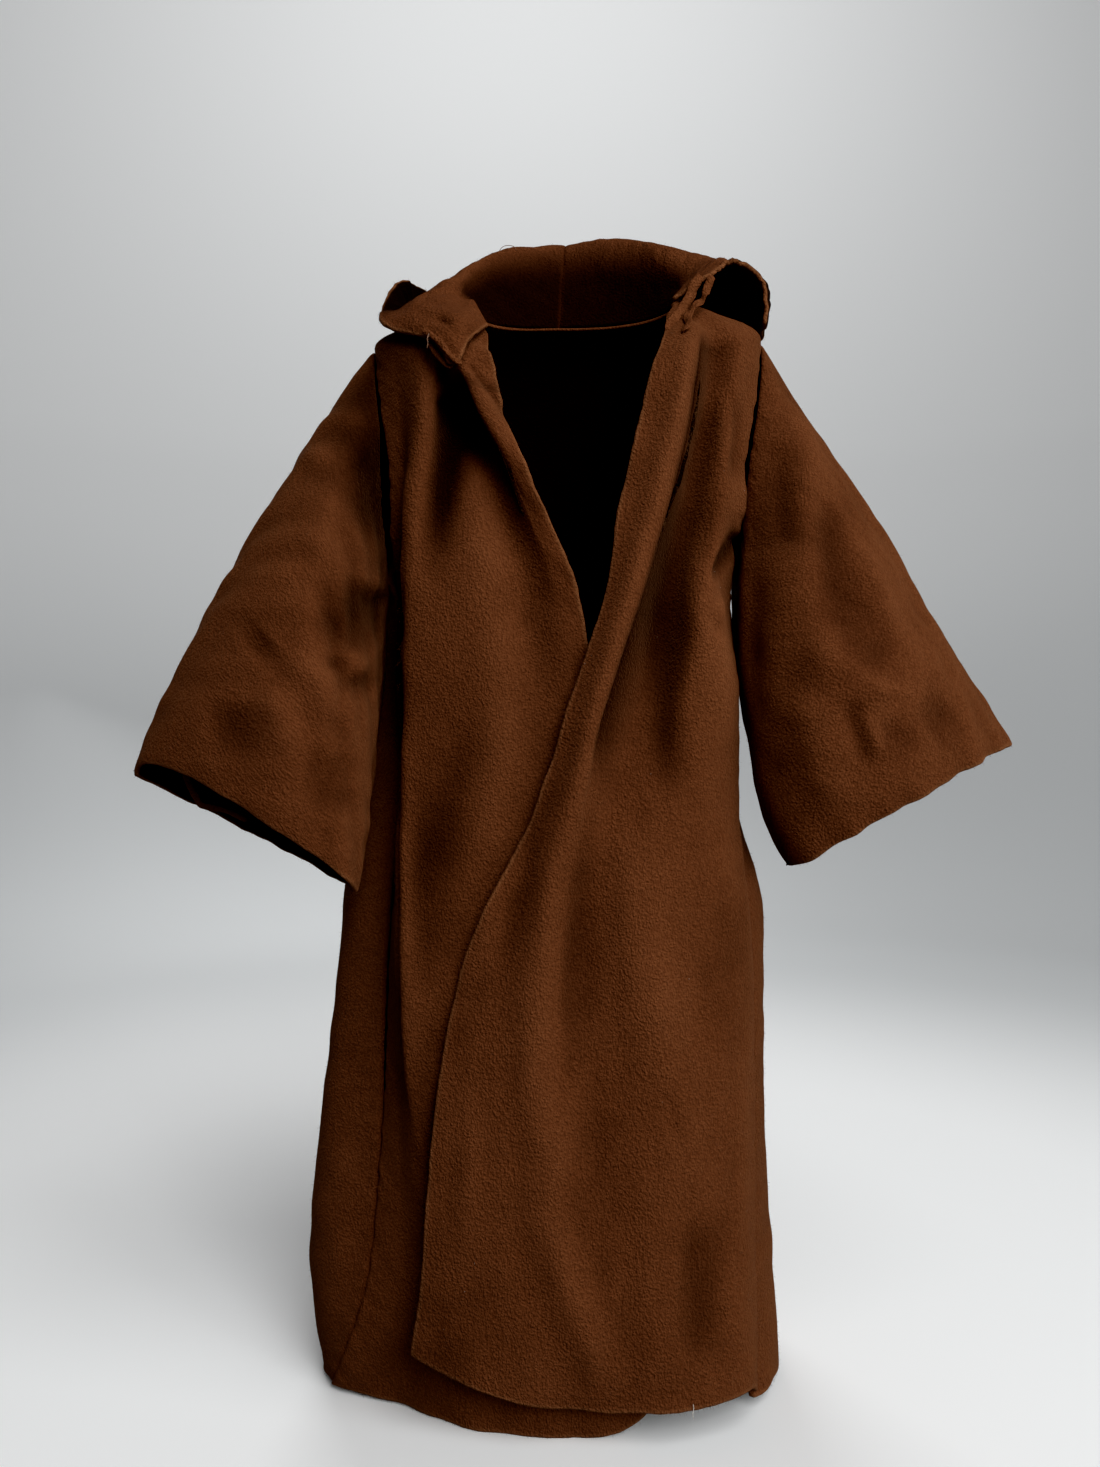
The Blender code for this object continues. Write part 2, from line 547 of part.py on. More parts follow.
def build_hood(collection, material):
    """The hood's two halves, parted by the gap of its centre seam."""
    over, along = grid(HOOD_OVER_SPANS, HOOD_HALF_SPANS)
    centre = [row[0] for row in HOOD_RIBS].index(-180) / (len(HOOD_RIBS) - 1)
    half_gap = SEAM_GAP / HOOD_SEAM_SPREAD
    for name, start, end in (("right_hood", 0.0, centre - half_gap), ("left_hood", centre + half_gap, 1.0)):
        points = hood_surface(start + along * (end - start), over)
        cloth_wall(name, points, collection, material, side_of_wall=0.0)


def main():
    """Builds the robe's seven pieces."""
    collection = start_empty()
    outside = fleece("brown fleece", BROWN)
    hood_cloth = fleece("brown fleece hood", DARK_BROWN)
    build_fronts(collection, outside)
    build_back(collection, outside)
    build_sleeves(collection, outside)
    build_hood(collection, hood_cloth)


main()
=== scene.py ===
"""The looks of a doll's hooded robe: brown fleece, open at the neck, with its hood thrown back.

Lengths in the tables are millimetres. Heights are above the lowest point of the hem, and the part's
origin is at NECK_HEIGHT, between the shoulders. X runs to the wearer's left, and the front of the robe
faces -Y. Angles go round the body from the centre front, positive to the wearer's left, and a "level"
is a height on the body that runs on, past the shoulder tip, over the shoulder to the neckline.
"""

import logging
from dataclasses import dataclass, field
from enum import Enum

import bpy
import numpy as np
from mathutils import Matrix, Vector


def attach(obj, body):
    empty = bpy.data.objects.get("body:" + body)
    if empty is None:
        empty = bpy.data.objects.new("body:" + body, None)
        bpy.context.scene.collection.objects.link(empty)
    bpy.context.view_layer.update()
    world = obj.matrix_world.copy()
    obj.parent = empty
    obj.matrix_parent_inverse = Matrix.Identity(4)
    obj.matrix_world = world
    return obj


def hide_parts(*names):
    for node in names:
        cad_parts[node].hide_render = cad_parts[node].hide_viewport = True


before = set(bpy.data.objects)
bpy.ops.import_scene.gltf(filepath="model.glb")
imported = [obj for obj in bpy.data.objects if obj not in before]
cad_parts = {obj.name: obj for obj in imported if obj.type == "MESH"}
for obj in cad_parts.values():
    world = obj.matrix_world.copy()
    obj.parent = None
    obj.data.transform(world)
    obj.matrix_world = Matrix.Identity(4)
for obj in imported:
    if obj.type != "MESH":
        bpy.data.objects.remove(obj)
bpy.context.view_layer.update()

log = logging.getLogger("robe")
Array = np.ndarray
Line = tuple[tuple[float, ...], ...]
Pair = tuple[float, float]
Triple = tuple[float, float, float]
Material = bpy.types.Material
Socket = bpy.types.NodeSocket
Piece = bpy.types.Object
Mesh = bpy.types.Mesh

MM = 0.001
NECK_HEIGHT = 232.0
CLOTH = 1.1
HOOD_CLOTH = 1.0
NAP_SCALE = 300.0
# The push in millimetres of a fold's valley that gets the full painted shade; crests get a painted highlight
# likewise.
FOLD_SHADE = 2.6
RAW_REACH = 0.5
SEED = 7
TINY = 1e-9
ALL_COLOURS = 3

SLOT_BODY = "brown fleece"
SLOT_HOOD = "brown fleece hood"


# ---- Curves and noise ----


def unit(vectors: Array) -> Array:
    """The vectors at length 1."""
    return vectors / np.maximum(np.linalg.norm(vectors, axis=-1), TINY)[..., None]


def across_from(vectors: Array, up: Array) -> Array:
    """The vectors less their part along the unit vectors up: v - (v . n) n."""
    return vectors - (vectors * up).sum(-1)[..., None] * up


def smooth_step(low: float, high: float, value: Array | float) -> Array:
    """0 below low, 1 above high, and 3t^2 - 2t^3 between them.

    Args:
        low: where the rise starts.
        high: where it ends.
        value: the numbers to place on it.

    Returns:
        The smooth share for each value.
    """
    t = np.clip((np.asarray(value, float) - low) / (high - low), 0, 1)
    return t * t * (3 - 2 * t)


def steady_slopes(rise: Array) -> Array:
    """Slopes at the points of a curve: the harmonic mean of the steps beside each, or level at a turn.

    Args:
        rise: the step from each point to the next, along the first axis.

    Returns:
        One slope a point.
    """
    same_way = rise[:-1] * rise[1:] > 0
    mean = 2 * rise[:-1] * rise[1:] / np.where(same_way, rise[:-1] + rise[1:], 1.0)
    return np.concatenate([rise[:1], np.where(same_way, mean, 0.0), rise[-1:]])


def hermite(t: Array, here: Array, slope_here: Array, there: Array, slope_there: Array) -> Array:
    """The cubic (1+2t)(1-t)^2 p + t(1-t)^2 m + t^2(3-2t) q - t^2(1-t) n.

    Args:
        t: the share of the way, from 0 to 1.
        here: the value p at 0.
        slope_here: the slope m at 0.
        there: the value q at 1.
        slope_there: the slope n at 1.

    Returns:
        The value at t.
    """
    return (
        (1 + 2 * t) * (1 - t) ** 2 * here
        + t * (1 - t) ** 2 * slope_here
        + t**2 * (3 - 2 * t) * there
        - t**2 * (1 - t) * slope_there
    )


def curve_through(stations: Array, values: Array, at: Array) -> Array:
    """Reads a cubic through values at stations, with slopes that never overshoot.

    Args:
        stations: the rising places of the values.
        values: one number for each station.
        at: where to read the curve.

    Returns:
        The curve's values.
    """
    x, y = np.asarray(stations, float), np.asarray(values, float)
    at = np.clip(np.asarray(at, float), x[0], x[-1])
    step = np.diff(x)
    slope = steady_slopes(np.diff(y) / step)
    k = np.clip(np.searchsorted(x, at, side="right") - 1, 0, len(x) - 2)
    return hermite((at - x[k]) / step[k], y[k], step[k] * slope[k], y[k + 1], step[k] * slope[k + 1])


def mix_lines(lines: list[Array], place: Array) -> Array:
    """Goes by steady cubics from line to line as place goes from 0 to the last one.

    Args:
        lines: arrays of one shape, one for each whole place.
        place: how far along the lines each point lies.

    Returns:
        The mixed values.
    """
    stack = np.stack(lines)
    slope = steady_slopes(np.diff(stack, axis=0))
    k = np.clip(place.astype(int), 0, len(lines) - 2)

    def pick(values: Array, index: Array) -> Array:
        """The values of each point's own line."""
        return np.take_along_axis(values, index[None], axis=0)[0]

    return hermite(place - k, pick(stack, k), pick(slope, k), pick(stack, k + 1), pick(slope, k + 1))


def catmull_rom(near: list[Array], t: Array) -> Array:
    """The Catmull-Rom cubic between the second and the third of four points.

    Args:
        near: the four points.
        t: the share of the way, from 0 to 1.

    Returns:
        The point at t.
    """
    before, here, there, after = near
    return 0.5 * (
        2 * here
        + (there - before) * t
        + (2 * before - 5 * here + 4 * there - after) * t**2
        + (3 * here - before - 3 * there + after) * t**3
    )


def loose_curve_through(values: Array, at: Array) -> Array:
    """Reads the Catmull-Rom curve through evenly spaced values.

    Args:
        values: the values, along the first axis.
        at: where to read it, from 0 at the first value to 1 at the last.

    Returns:
        The curve's values.
    """
    last = len(values) - 1
    spot = np.clip(np.asarray(at, float), 0, 1) * last
    k = np.clip(spot.astype(int), 0, last - 1)
    t = (spot - k).reshape(spot.shape + (1,) * (values.ndim - 1))
    return catmull_rom([values[np.clip(k + step, 0, last)] for step in (-1, 0, 1, 2)], t)


def run_length(points: Array, axis: int) -> Array:
    """The distance run along an axis of a grid: the sum of the steps up to each point.

    Args:
        points: a grid of points.
        axis: the axis to run along.

    Returns:
        The distance at each point, 0 at the first.
    """
    step = np.linalg.norm(np.diff(points, axis=axis), axis=-1)
    start = np.zeros_like(np.take(step, [0], axis=axis))
    return np.concatenate([start, np.cumsum(step, axis=axis)], axis=axis)


def normals_of(points: Array, closed: bool) -> Array:
    """The unit normals of a grid: the cross product of its slopes down and across.

    Args:
        points: a grid of points.
        closed: whether the last column goes on to the first.

    Returns:
        One unit normal a point.
    """
    down = np.gradient(points, axis=0)
    if closed:
        across = (np.roll(points, -1, axis=1) - np.roll(points, 1, axis=1)) / 2
    else:
        across = np.gradient(points, axis=1)
    return unit(np.cross(across, down))


def facing_out(points: Array, closed: bool) -> Array:
    """The grid's unit normals, turned so that on the whole they point away from its middle.

    Args:
        points: a grid of points.
        closed: whether the last column goes on to the first.

    Returns:
        One unit normal a point.
    """
    normal = normals_of(points, closed)
    return -normal if (normal * (points - points.mean(axis=(0, 1)))).sum() < 0 else normal


class Ripple:
    """Smooth random relief: a sum of sine waves with seeded directions, lengths and phases."""

    def __init__(self, seed: int, size: float, waves: int = 9, stretch: float = 1.0) -> None:
        """Draws the waves.

        Args:
            seed: the seed of the random draws.
            size: the middling distance from crest to crest, in millimetres.
            waves: how many waves are added up.
            stretch: how much longer the relief is along its second axis.
        """
        draw = np.random.default_rng(seed)
        turn = draw.uniform(0, 2 * np.pi, waves)
        reach = 2 * np.pi / (size * draw.uniform(0.7, 1.6, waves))
        self.ways = np.stack([np.cos(turn) * reach, np.sin(turn) * reach / stretch], axis=-1)
        self.phase = draw.uniform(0, 2 * np.pi, waves)
        self.scale = np.sqrt(2 / waves)

    def at(self, u: Array, v: Array) -> Array:
        """The relief at (u, v): sum of sin(a u + b v + c), scaled to about -1 to 1.

        Args:
            u: places along the first axis, in millimetres.
            v: places along the second axis, in millimetres.

        Returns:
            One number for each place.
        """
        spots = np.stack(np.broadcast_arrays(u, v), axis=-1)
        return np.sin(spots @ self.ways.T + self.phase).sum(axis=-1) * self.scale * 0.7


@dataclass(frozen=True)
class Wave:
    """Seeded unevenness of one size: a Ripple times a height in millimetres."""

    size: float
    height: float
    stretch: float = 1.0
    waves: int = 9

    def at(self, seed: int, u: Array, v: Array | float) -> Array:
        """The height at (u, v).

        Args:
            seed: the seed of the ripple.
            u: places along the first axis, in millimetres.
            v: places along the second axis, in millimetres.

        Returns:
            One height for each place.
        """
        return Ripple(seed, self.size, self.waves, self.stretch).at(u, v) * self.height


@dataclass(frozen=True)
class Crease:
    """A soft ridge or trough along a given line, which is the numbers of its points in turn.

    With 2 axes each point is (x, height), and with 3 it is (x, y, height). The steep side is that much
    wider than the other one.
    """

    line: tuple[float, ...]
    push: float
    width: float
    steep: float = 1.0
    start_fade: float = 0.2
    end_fade: float = 0.3
    axes: int = 2

    def relief(self, points: Array, spread: float) -> Array:
        """The push at each place: push * exp(-(d / w)^2) * fade, d being the distance from the line.

        Args:
            points: the grid of points, in millimetres.
            spread: what the width is multiplied by.

        Returns:
            How far the cloth moves outwards, in millimetres.
        """
        line = np.array(self.line, float).reshape(-1, self.axes)
        places = points[..., [0, 2]] if self.axes == 2 else points
        start, step = line[:-1], np.diff(line, axis=0)
        length = np.linalg.norm(step, axis=1)
        run = np.concatenate([[0.0], np.cumsum(length)])
        spot = places[..., None, :] - start
        share = np.clip((spot * step).sum(-1) / length**2, 0, 1)
        away = spot - share[..., None] * step
        distance = np.linalg.norm(away, axis=-1)
        nearest = distance.argmin(axis=-1)[..., None]
        side = step[:, 0] * away[..., -1] - step[:, -1] * away[..., 0]
        side = np.take_along_axis(side, nearest, axis=-1)[..., 0]
        distance = np.take_along_axis(distance, nearest, axis=-1)[..., 0]
        along = (run[:-1] + share * length) / run[-1]
        along = np.take_along_axis(along, nearest, axis=-1)[..., 0]
        width = np.where(side > 0, self.width, self.width * self.steep) * spread
        fade = smooth_step(-0.001, self.start_fade, along) * smooth_step(-0.001, self.end_fade, 1 - along)
        return self.push * np.exp(-((distance / width) ** 2)) * fade


def creases(*rows: tuple[tuple[float, ...], ...], axes: int = 2) -> tuple[Crease, ...]:
    """The crease of each row.

    Args:
        rows: for each crease its push, width, steepness and fades, and then its line's numbers.
        axes: how many numbers a point has.

    Returns:
        The creases.
    """
    return tuple(Crease(line, *shape, axes=axes) for shape, line in rows)


def relief_of(folds: tuple[Crease, ...], points: Array, spread: float = 1.0) -> Array:
    """The push of several creases together, at each point of a grid.

    Args:
        folds: the creases.
        points: the grid of points.
        spread: what each crease's width is multiplied by.

    Returns:
        How far each point moves outwards, in millimetres.
    """
    push = np.zeros(points.shape[:-1])
    for crease in folds:
        push = push + crease.relief(points, spread)
    return push


# ---- The body's girth ----


class Side(Enum):
    """Which side of the wearer a piece is on."""

    RIGHT = -1
    LEFT = 1


@dataclass(frozen=True)
class Girth:
    """The robe's girth: an oval |x/a|^p + |y/b|^p = 1 at each level, with dropped front and back."""

    rows: Line = (
        (0, 0, 52.6, 48.2, 27, 36, 0, 0),
        (25, 25, 55.2, 46.8, 26.5, 35, 0, 0),
        (60, 60, 53, 45.8, 24.5, 31.5, 0, 0),
        (100, 100, 48.6, 45.6, 22, 26.5, 0, 0),
        (125, 125, 42.5, 40.6, 21, 23.5, 0, 0),
        (150, 150, 38.4, 41, 20, 21.5, 0, 0),
        (170, 170, 38, 39.4, 19, 21, 0, 0),
        (195, 195, 39.8, 42, 18, 21, 1, 0),
        (212, 212, 41, 44, 17.5, 20.5, 5, 0),
        (227, 227, 41.2, 44.5, 17.5, 18.5, 11, 0.5),
        (239, 232.5, 31, 35, 18.5, 16, 15, 1),
        (250, 236, 20, 26, 19.5, 13, 24, 1),
    )
    columns: tuple[str, ...] = (
        "level", "height", "right", "left", "front", "back", "front_drop", "back_drop"
    )
    squareness: float = 2.35
    armpit: float = 170.0
    tip: float = 227.0
    neck: float = 250.0
    armhole_roundness: float = 0.75
    armpit_ease: float = 14.0
    front_bow: Pair = (22.0, 19.0)
    back_bow: float = 26.0
    sink: float = 1.8
    sink_from_level: float = 195.0
    sink_from_x: float = 30.0
    seam_gap: float = 0.05
    seam_levels: tuple[float, ...] = (0, 30, 60, 90, 125, 150, 170)
    right_seam: Line = (
        (-50.5, -42, -41, -42, -39.6, -37.2, -37.2),
        (-1, -4.2, -6.5, -8, -6.6, -3.8, -1.2),
    )
    left_seam: Line = (
        (39.6, 39.6, 40.4, 41.6, 39.6, 39.8, 38.4),
        (0, 0, -0.2, -1, -2.4, -2, -1.6),
    )

    def measure(self, column: str, level: Array) -> Array:
        """Reads one column of the rows at a level."""
        rows = np.array(self.rows, float)
        return curve_through(rows[:, 0], rows[:, self.columns.index(column)], level)

    def either(self, test: Array, first: str, second: str, level: Array) -> Array:
        """The first column where the test holds, and elsewhere the second."""
        return np.where(test, self.measure(first, level), self.measure(second, level))

    def point(self, angle: Array, level: Array, push: Array | float) -> Array:
        """A point of the oval at an angle, moved by push along the oval's own normal.

        Args:
            angle: degrees from the centre front.
            level: the level on the body.
            push: how far out from the girth.

        Returns:
            The points, in millimetres.
        """
        turn = np.radians(angle)
        across, ahead = np.sin(turn), np.cos(turn)
        wide = self.either(across < 0, "right", "left", level)
        deep = self.either(ahead > 0, "front", "back", level)
        power = 2 / self.squareness
        x = wide * np.sign(across) * np.abs(across) ** power
        y = -deep * np.sign(ahead) * np.abs(ahead) ** power
        out_x = np.sign(x) * np.abs(x / wide) ** (self.squareness - 1) / wide
        out_y = np.sign(y) * np.abs(y / deep) ** (self.squareness - 1) / deep
        length = np.hypot(out_x, out_y)
        drop = self.either(ahead > 0, "front_drop", "back_drop", level) * ahead**2
        sink = self.sink * smooth_step(self.sink_from_level, self.tip, level)
        height = self.measure("height", level) - drop - sink * smooth_step(0, self.sink_from_x, -x)
        return np.stack([x + push * out_x / length, y + push * out_y / length, height], axis=-1)

    def angle_at(self, x: Array, level: Array) -> Array:
        """The front angle whose point lies at x: asin(|x/a|^(p/2))."""
        wide = self.either(x < 0, "right", "left", level)
        share = np.clip(np.abs(x) / wide, 0, 1)
        return np.degrees(np.arcsin(share ** (self.squareness / 2))) * np.sign(x)

    def seam_line(self, side: Side) -> Line:
        """The x and the push of a side seam at the seam levels."""
        return self.right_seam if side is Side.RIGHT else self.left_seam

    def seam_angle(self, side: Side, level: Array, behind: bool = False) -> Array:
        """The angle of a panel's outer edge: shoulder seam, armhole, then side seam.

        Args:
            side: which side of the wearer.
            level: the level on the body.
            behind: whether it is the back's edge of the armhole.

        Returns:
            The angle, in degrees.
        """
        below = self.angle_at(curve_through(self.seam_levels, self.seam_line(side)[0], level), level)
        bow = -self.front_bow[0 if side is Side.RIGHT else 1]
        if behind:
            bow = self.back_bow
        share = np.clip((level - self.armpit) / (self.tip - self.armpit), 0, 1)
        open_by = np.abs(np.sin(np.pi * share)) ** self.armhole_roundness
        above = side.value * (90 + bow * open_by)
        rise = smooth_step(self.armpit - self.armpit_ease, self.armpit + self.armpit_ease, level)
        return below + (above - below) * rise

    def seam_push(self, side: Side, level: Array) -> Array:
        """How far the side seam stands out from the girth, fading out above the armpit."""
        below = curve_through(self.seam_levels, self.seam_line(side)[1], level)
        return below * (1 - smooth_step(self.armpit, self.armpit + self.armpit_ease, level))

    def gap_angle(self, level: Array) -> Array:
        """Half of a seam's gap, as an angle on the front of the girth."""
        return np.degrees(self.seam_gap / self.measure("front", level))

    def armhole(self, side: Side, turn: Array) -> Array:
        """The armhole: once round from the shoulder tip, down the front and up behind.

        Args:
            side: which side of the wearer.
            turn: from 0 to 1 once round.

        Returns:
            The points of the armhole.
        """
        ahead = turn <= 0.5
        share = np.where(ahead, turn, 1 - turn) * 2
        level = self.tip + (self.armpit - self.tip) * share
        front, back = self.seam_angle(side, level), self.seam_angle(side, level, behind=True)
        return self.point(np.where(ahead, front, back), level, 0.0)


GIRTH = Girth()


# ---- Materials ----


class Scalar:
    """A shader socket that is reckoned with as a number: each operator adds a Math node."""

    def __init__(self, graph: "Graph", socket: Socket) -> None:
        """Wraps a socket of a graph."""
        self.graph, self.socket = graph, socket

    def _math(self, operation: str, first: "Scalar | float", second: "Scalar | float") -> "Scalar":
        """Adds one Math node, which isn't clamped."""
        node = self.graph.node("ShaderNodeMath", {"operation": operation}, {0: first, 1: second})
        return Scalar(self.graph, node.outputs[0])

    def __add__(self, other: "Scalar | float") -> "Scalar":
        """self + other."""
        return self._math("ADD", self, other)

    def __sub__(self, other: "Scalar | float") -> "Scalar":
        """self - other."""
        return self._math("SUBTRACT", self, other)

    def __rsub__(self, other: float) -> "Scalar":
        """other - self."""
        return self._math("SUBTRACT", other, self)

    def __mul__(self, other: "Scalar | float") -> "Scalar":
        """self * other."""
        return self._math("MULTIPLY", self, other)

    __radd__ = __add__
    __rmul__ = __mul__

    def over(self, low: float, high: float) -> "Scalar":
        """0 below low, 1 above high, and smooth between them."""
        settings = {"interpolation_type": "SMOOTHSTEP"}
        node = self.graph.node("ShaderNodeMapRange", settings, {0: self, 1: low, 2: high, 3: 0.0, 4: 1.0})
        return Scalar(self.graph, node.outputs[0])


class Graph:
    """The node tree of one material."""

    def __init__(self, name: str) -> None:
        """Starts a material with a bare shader.

        Args:
            name: the material's name.
        """
        self.material = bpy.data.materials.new(name)
        self.material.use_nodes = True
        self.tree = self.material.node_tree
        self.shader = self.tree.nodes["Principled BSDF"]

    def node(self, kind: str, settings: dict | None = None, inputs: dict | None = None) -> bpy.types.Node:
        """Adds a node, sets it, then gives its sockets values or links.

        Args:
            kind: the node's type.
            settings: its own settings, by name.
            inputs: values or links, by socket.

        Returns:
            The node.
        """
        node = self.tree.nodes.new(kind)
        for name, value in (settings or {}).items():
            setattr(node, name, value)
        for key, value in (inputs or {}).items():
            self.feed(node.inputs[key], value)
        return node

    def feed(self, socket: Socket, value: object) -> None:
        """Gives a socket a link from a Scalar or a socket, or else a plain value."""
        if isinstance(value, Scalar):
            self.tree.links.new(value.socket, socket)
        elif isinstance(value, Socket):
            self.tree.links.new(value, socket)
        else:
            socket.default_value = value

    def attribute(self, name: str) -> Scalar:
        """A number kept on the mesh."""
        node = self.node("ShaderNodeAttribute", {"attribute_name": name})
        return Scalar(self, node.outputs["Fac"])

    def scaled(self, vector: Socket, by: Triple) -> Socket:
        """A vector times another."""
        node = self.node("ShaderNodeVectorMath", {"operation": "MULTIPLY"}, {0: vector, 1: by})
        return node.outputs[0]

    def bent(self, vector: Socket, size: float, by: float) -> Socket:
        """A vector moved about by soft noise.

        Args:
            vector: places, in millimetres.
            size: how wide the bends are.
            by: how far they go, each way.

        Returns:
            The bent vector.
        """
        inputs = {"Vector": vector, "Scale": 1 / size, "Detail": 1.0}
        noise = self.node("ShaderNodeTexNoise", {}, inputs).outputs["Color"]
        centred = self.node("ShaderNodeVectorMath", {"operation": "SUBTRACT"}, {0: noise, 1: (0.5,) * 3})
        moved = self.scaled(centred.outputs[0], (2 * by,) * 3)
        return self.node("ShaderNodeVectorMath", {"operation": "ADD"}, {0: vector, 1: moved}).outputs[0]

    def noise(self, vector: Socket, size: float, detail: float = 2.0, twist: float = 0.0) -> Scalar:
        """Cloudy noise from 0 to 1.

        Args:
            vector: places, in millimetres.
            size: the middling size of a cloud, in millimetres.
            detail: how many finer layers it has.
            twist: how much it is twisted.

        Returns:
            The noise.
        """
        inputs = {"Vector": vector, "Scale": 1 / size, "Detail": detail}
        inputs |= {"Roughness": 0.6, "Distortion": twist}
        return Scalar(self, self.node("ShaderNodeTexNoise", {}, inputs).outputs[0])

    def cells(self, vector: Socket, size: float) -> Scalar:
        """Rounded tufts: 1 in the middle of each cell, falling towards its border."""
        node = self.node("ShaderNodeTexVoronoi", {"feature": "F1"}, {"Vector": vector, "Scale": 1 / size})
        return 1 - Scalar(self, node.outputs["Distance"])

    def mix(self, factor: Scalar, first: object, second: object) -> Socket:
        """The colour that goes from first to second as factor goes from 0 to 1."""
        node = self.node("ShaderNodeMix", {"data_type": "RGBA"}, {0: factor, 6: first, 7: second})
        return node.outputs[2]

    def finish(self, colour: object, roughness: object, height: Scalar | None, relief_mm: float) -> None:
        """Feeds the shader its colour, its roughness and a bump.

        Args:
            colour: the base colour, a link or a value.
            roughness: the roughness, a link or a value.
            height: the relief from 0 to 1, if there is one.
            relief_mm: how deep the relief is.
        """
        self.feed(self.shader.inputs["Base Color"], colour)
        self.feed(self.shader.inputs["Roughness"], roughness)
        if height is not None:
            bump = self.node("ShaderNodeBump", {}, {"Height": height, "Distance": relief_mm * MM})
            self.feed(self.shader.inputs["Normal"], bump.outputs[0])

    def gloss(self, specular: float, sheen: float) -> None:
        """Sets the shader's specular level and its sheen."""
        self.shader.inputs["Specular IOR Level"].default_value = specular
        self.shader.inputs["Sheen Weight"].default_value = sheen


def rgb(red: float, green: float, blue: float) -> tuple[float, float, float, float]:
    """A colour with full alpha."""
    return (red, green, blue, 1.0)


@dataclass(frozen=True)
class Fleece:
    """Short-pile fleece: clumped tufts, nap that lies in streaks, paler raw edges and rubbed patches."""

    name: str
    # deep is a painted shade between the tufts, also used in the seams; tuft is the colour of the tufts'
    # tips.
    deep: tuple = rgb(0.074, 0.0252, 0.0096)
    tuft: tuple = rgb(0.205, 0.0820, 0.0375)
    raw: tuple = rgb(0.23, 0.105, 0.050)
    # The near-black colour of painted shade: on the robe's inner skin, in fold valleys and in the hood's
    # pouch and collar.
    hollow_shade: tuple = rgb(0.003, 0.0010, 0.0003)
    clump_mm: float = 0.62
    tuft_mm: float = 0.56
    fibre_mm: float = 0.26
    nap_way: Triple = (1.0, 0.34, 1.0)
    streak_share: float = 0.45
    contrast: float = 0.52
    relief_mm: float = 0.34
    sheen: float = 0.12
    flow: Pair = (14.0, 2.6)
    patch_mm: float = 17.0
    cell_share: float = 0.45
    fibre_share: float = 0.28
    patch_share: float = 0.22
    middle: float = 0.39
    # How far the painted shade dims the colour, and below 0 brightens it as a painted highlight.
    shade_dims: float = 0.35
    raw_share: float = 0.62
    # How far the painted shade mixes in the near-black shade colour.
    shade_share: float = 0.92
    # How far the painted shade of the seams' grooves mixes in the deep colour.
    seam_shade_share: float = 0.45

    def material(self) -> Material:
        """Builds the material.

        Height = clumps and streaks + cells + fibres, each by its share. The colour goes from deep, a painted
        shade between the tufts, to their tips by contrast times the height, plus the patches. It is paler
        where the raw_edge attribute says that the cloth is cut. A painted shade kept on the mesh makes it
        paler on crests, a painted highlight where that value is below 0, and darker towards the near-black
        shade colour in fold valleys, on the robe's inner skin and in the hood's pouch, most where it is 1.
        Painted shade in the seams' grooves darkens them towards deep.

        Returns:
            The material.
        """
        graph = Graph(self.name)
        place = graph.node("ShaderNodeTexCoord").outputs["Object"]
        place = graph.scaled(place, (1 / MM,) * 3)
        nap = graph.node("ShaderNodeUVMap", {"uv_map": "nap"}).outputs[0]
        nap = graph.scaled(nap, (NAP_SCALE,) * 3)
        flow = graph.bent(nap, *self.flow)
        clumps = graph.noise(place, self.clump_mm, 1.2, 0.5)
        streaks = graph.noise(graph.scaled(flow, self.nap_way), self.clump_mm, 2.0, 0.4)
        fibres = graph.noise(graph.scaled(flow, self.nap_way), self.fibre_mm, 2.0)
        patches = graph.noise(place, self.patch_mm, 2.0, 0.3)
        share = self.streak_share
        tufts = (clumps * (1 - share) + streaks * share).over(0.34, 0.66) * (1 - self.cell_share)
        tufts = tufts + graph.cells(place, self.tuft_mm).over(0.30, 0.80) * self.cell_share
        height = tufts * (1 - self.fibre_share) + fibres.over(0.30, 0.70) * self.fibre_share
        lit = height * self.contrast + patches * self.patch_share + (self.middle - self.contrast / 2)
        edge = graph.attribute("raw_edge") * (fibres * 0.6 + 0.5)
        # Painted shade kept on the mesh: 1 is full shade, below 0 a painted highlight on crests.
        painted_shade = graph.attribute("painted_shade")
        colour = graph.mix(lit - painted_shade * self.shade_dims, self.deep, self.tuft)
        colour = graph.mix(edge.over(0.10, 0.8) * self.raw_share, colour, self.raw)
        colour = graph.mix(painted_shade * self.shade_share, colour, self.hollow_shade)
        # Painted shade in the seams' grooves.
        colour = graph.mix(graph.attribute("seam") * self.seam_shade_share, colour, self.deep)
        graph.finish(colour, 0.86 + 0.14 * height, height, self.relief_mm)
        graph.gloss(0.05, self.sheen)
        graph.shader.inputs["Sheen Roughness"].default_value = 0.42
        graph.shader.inputs["Sheen Tint"].default_value = rgb(1.0, 0.52, 0.26)
        return graph.material


@dataclass(frozen=True)
class Fibre:
    """The loose hairs of the fleece, threads and lint: a soft colour that varies from place to place."""

    name: str
    dark: tuple
    pale: tuple
    sheen: float = 0.3

    def material(self) -> Material:
        """Builds the material: the colour is noise between dark and pale.

        Returns:
            The material.
        """
        graph = Graph(self.name)
        place = graph.scaled(graph.node("ShaderNodeTexCoord").outputs["Object"], (1 / MM,) * 3)
        tone = graph.noise(place, 0.8, 2.0)
        graph.finish(graph.mix(tone.over(0.3, 0.7), self.dark, self.pale), 0.8 + 0.15 * tone, None, 0.0)
        graph.gloss(0.2, self.sheen)
        return graph.material


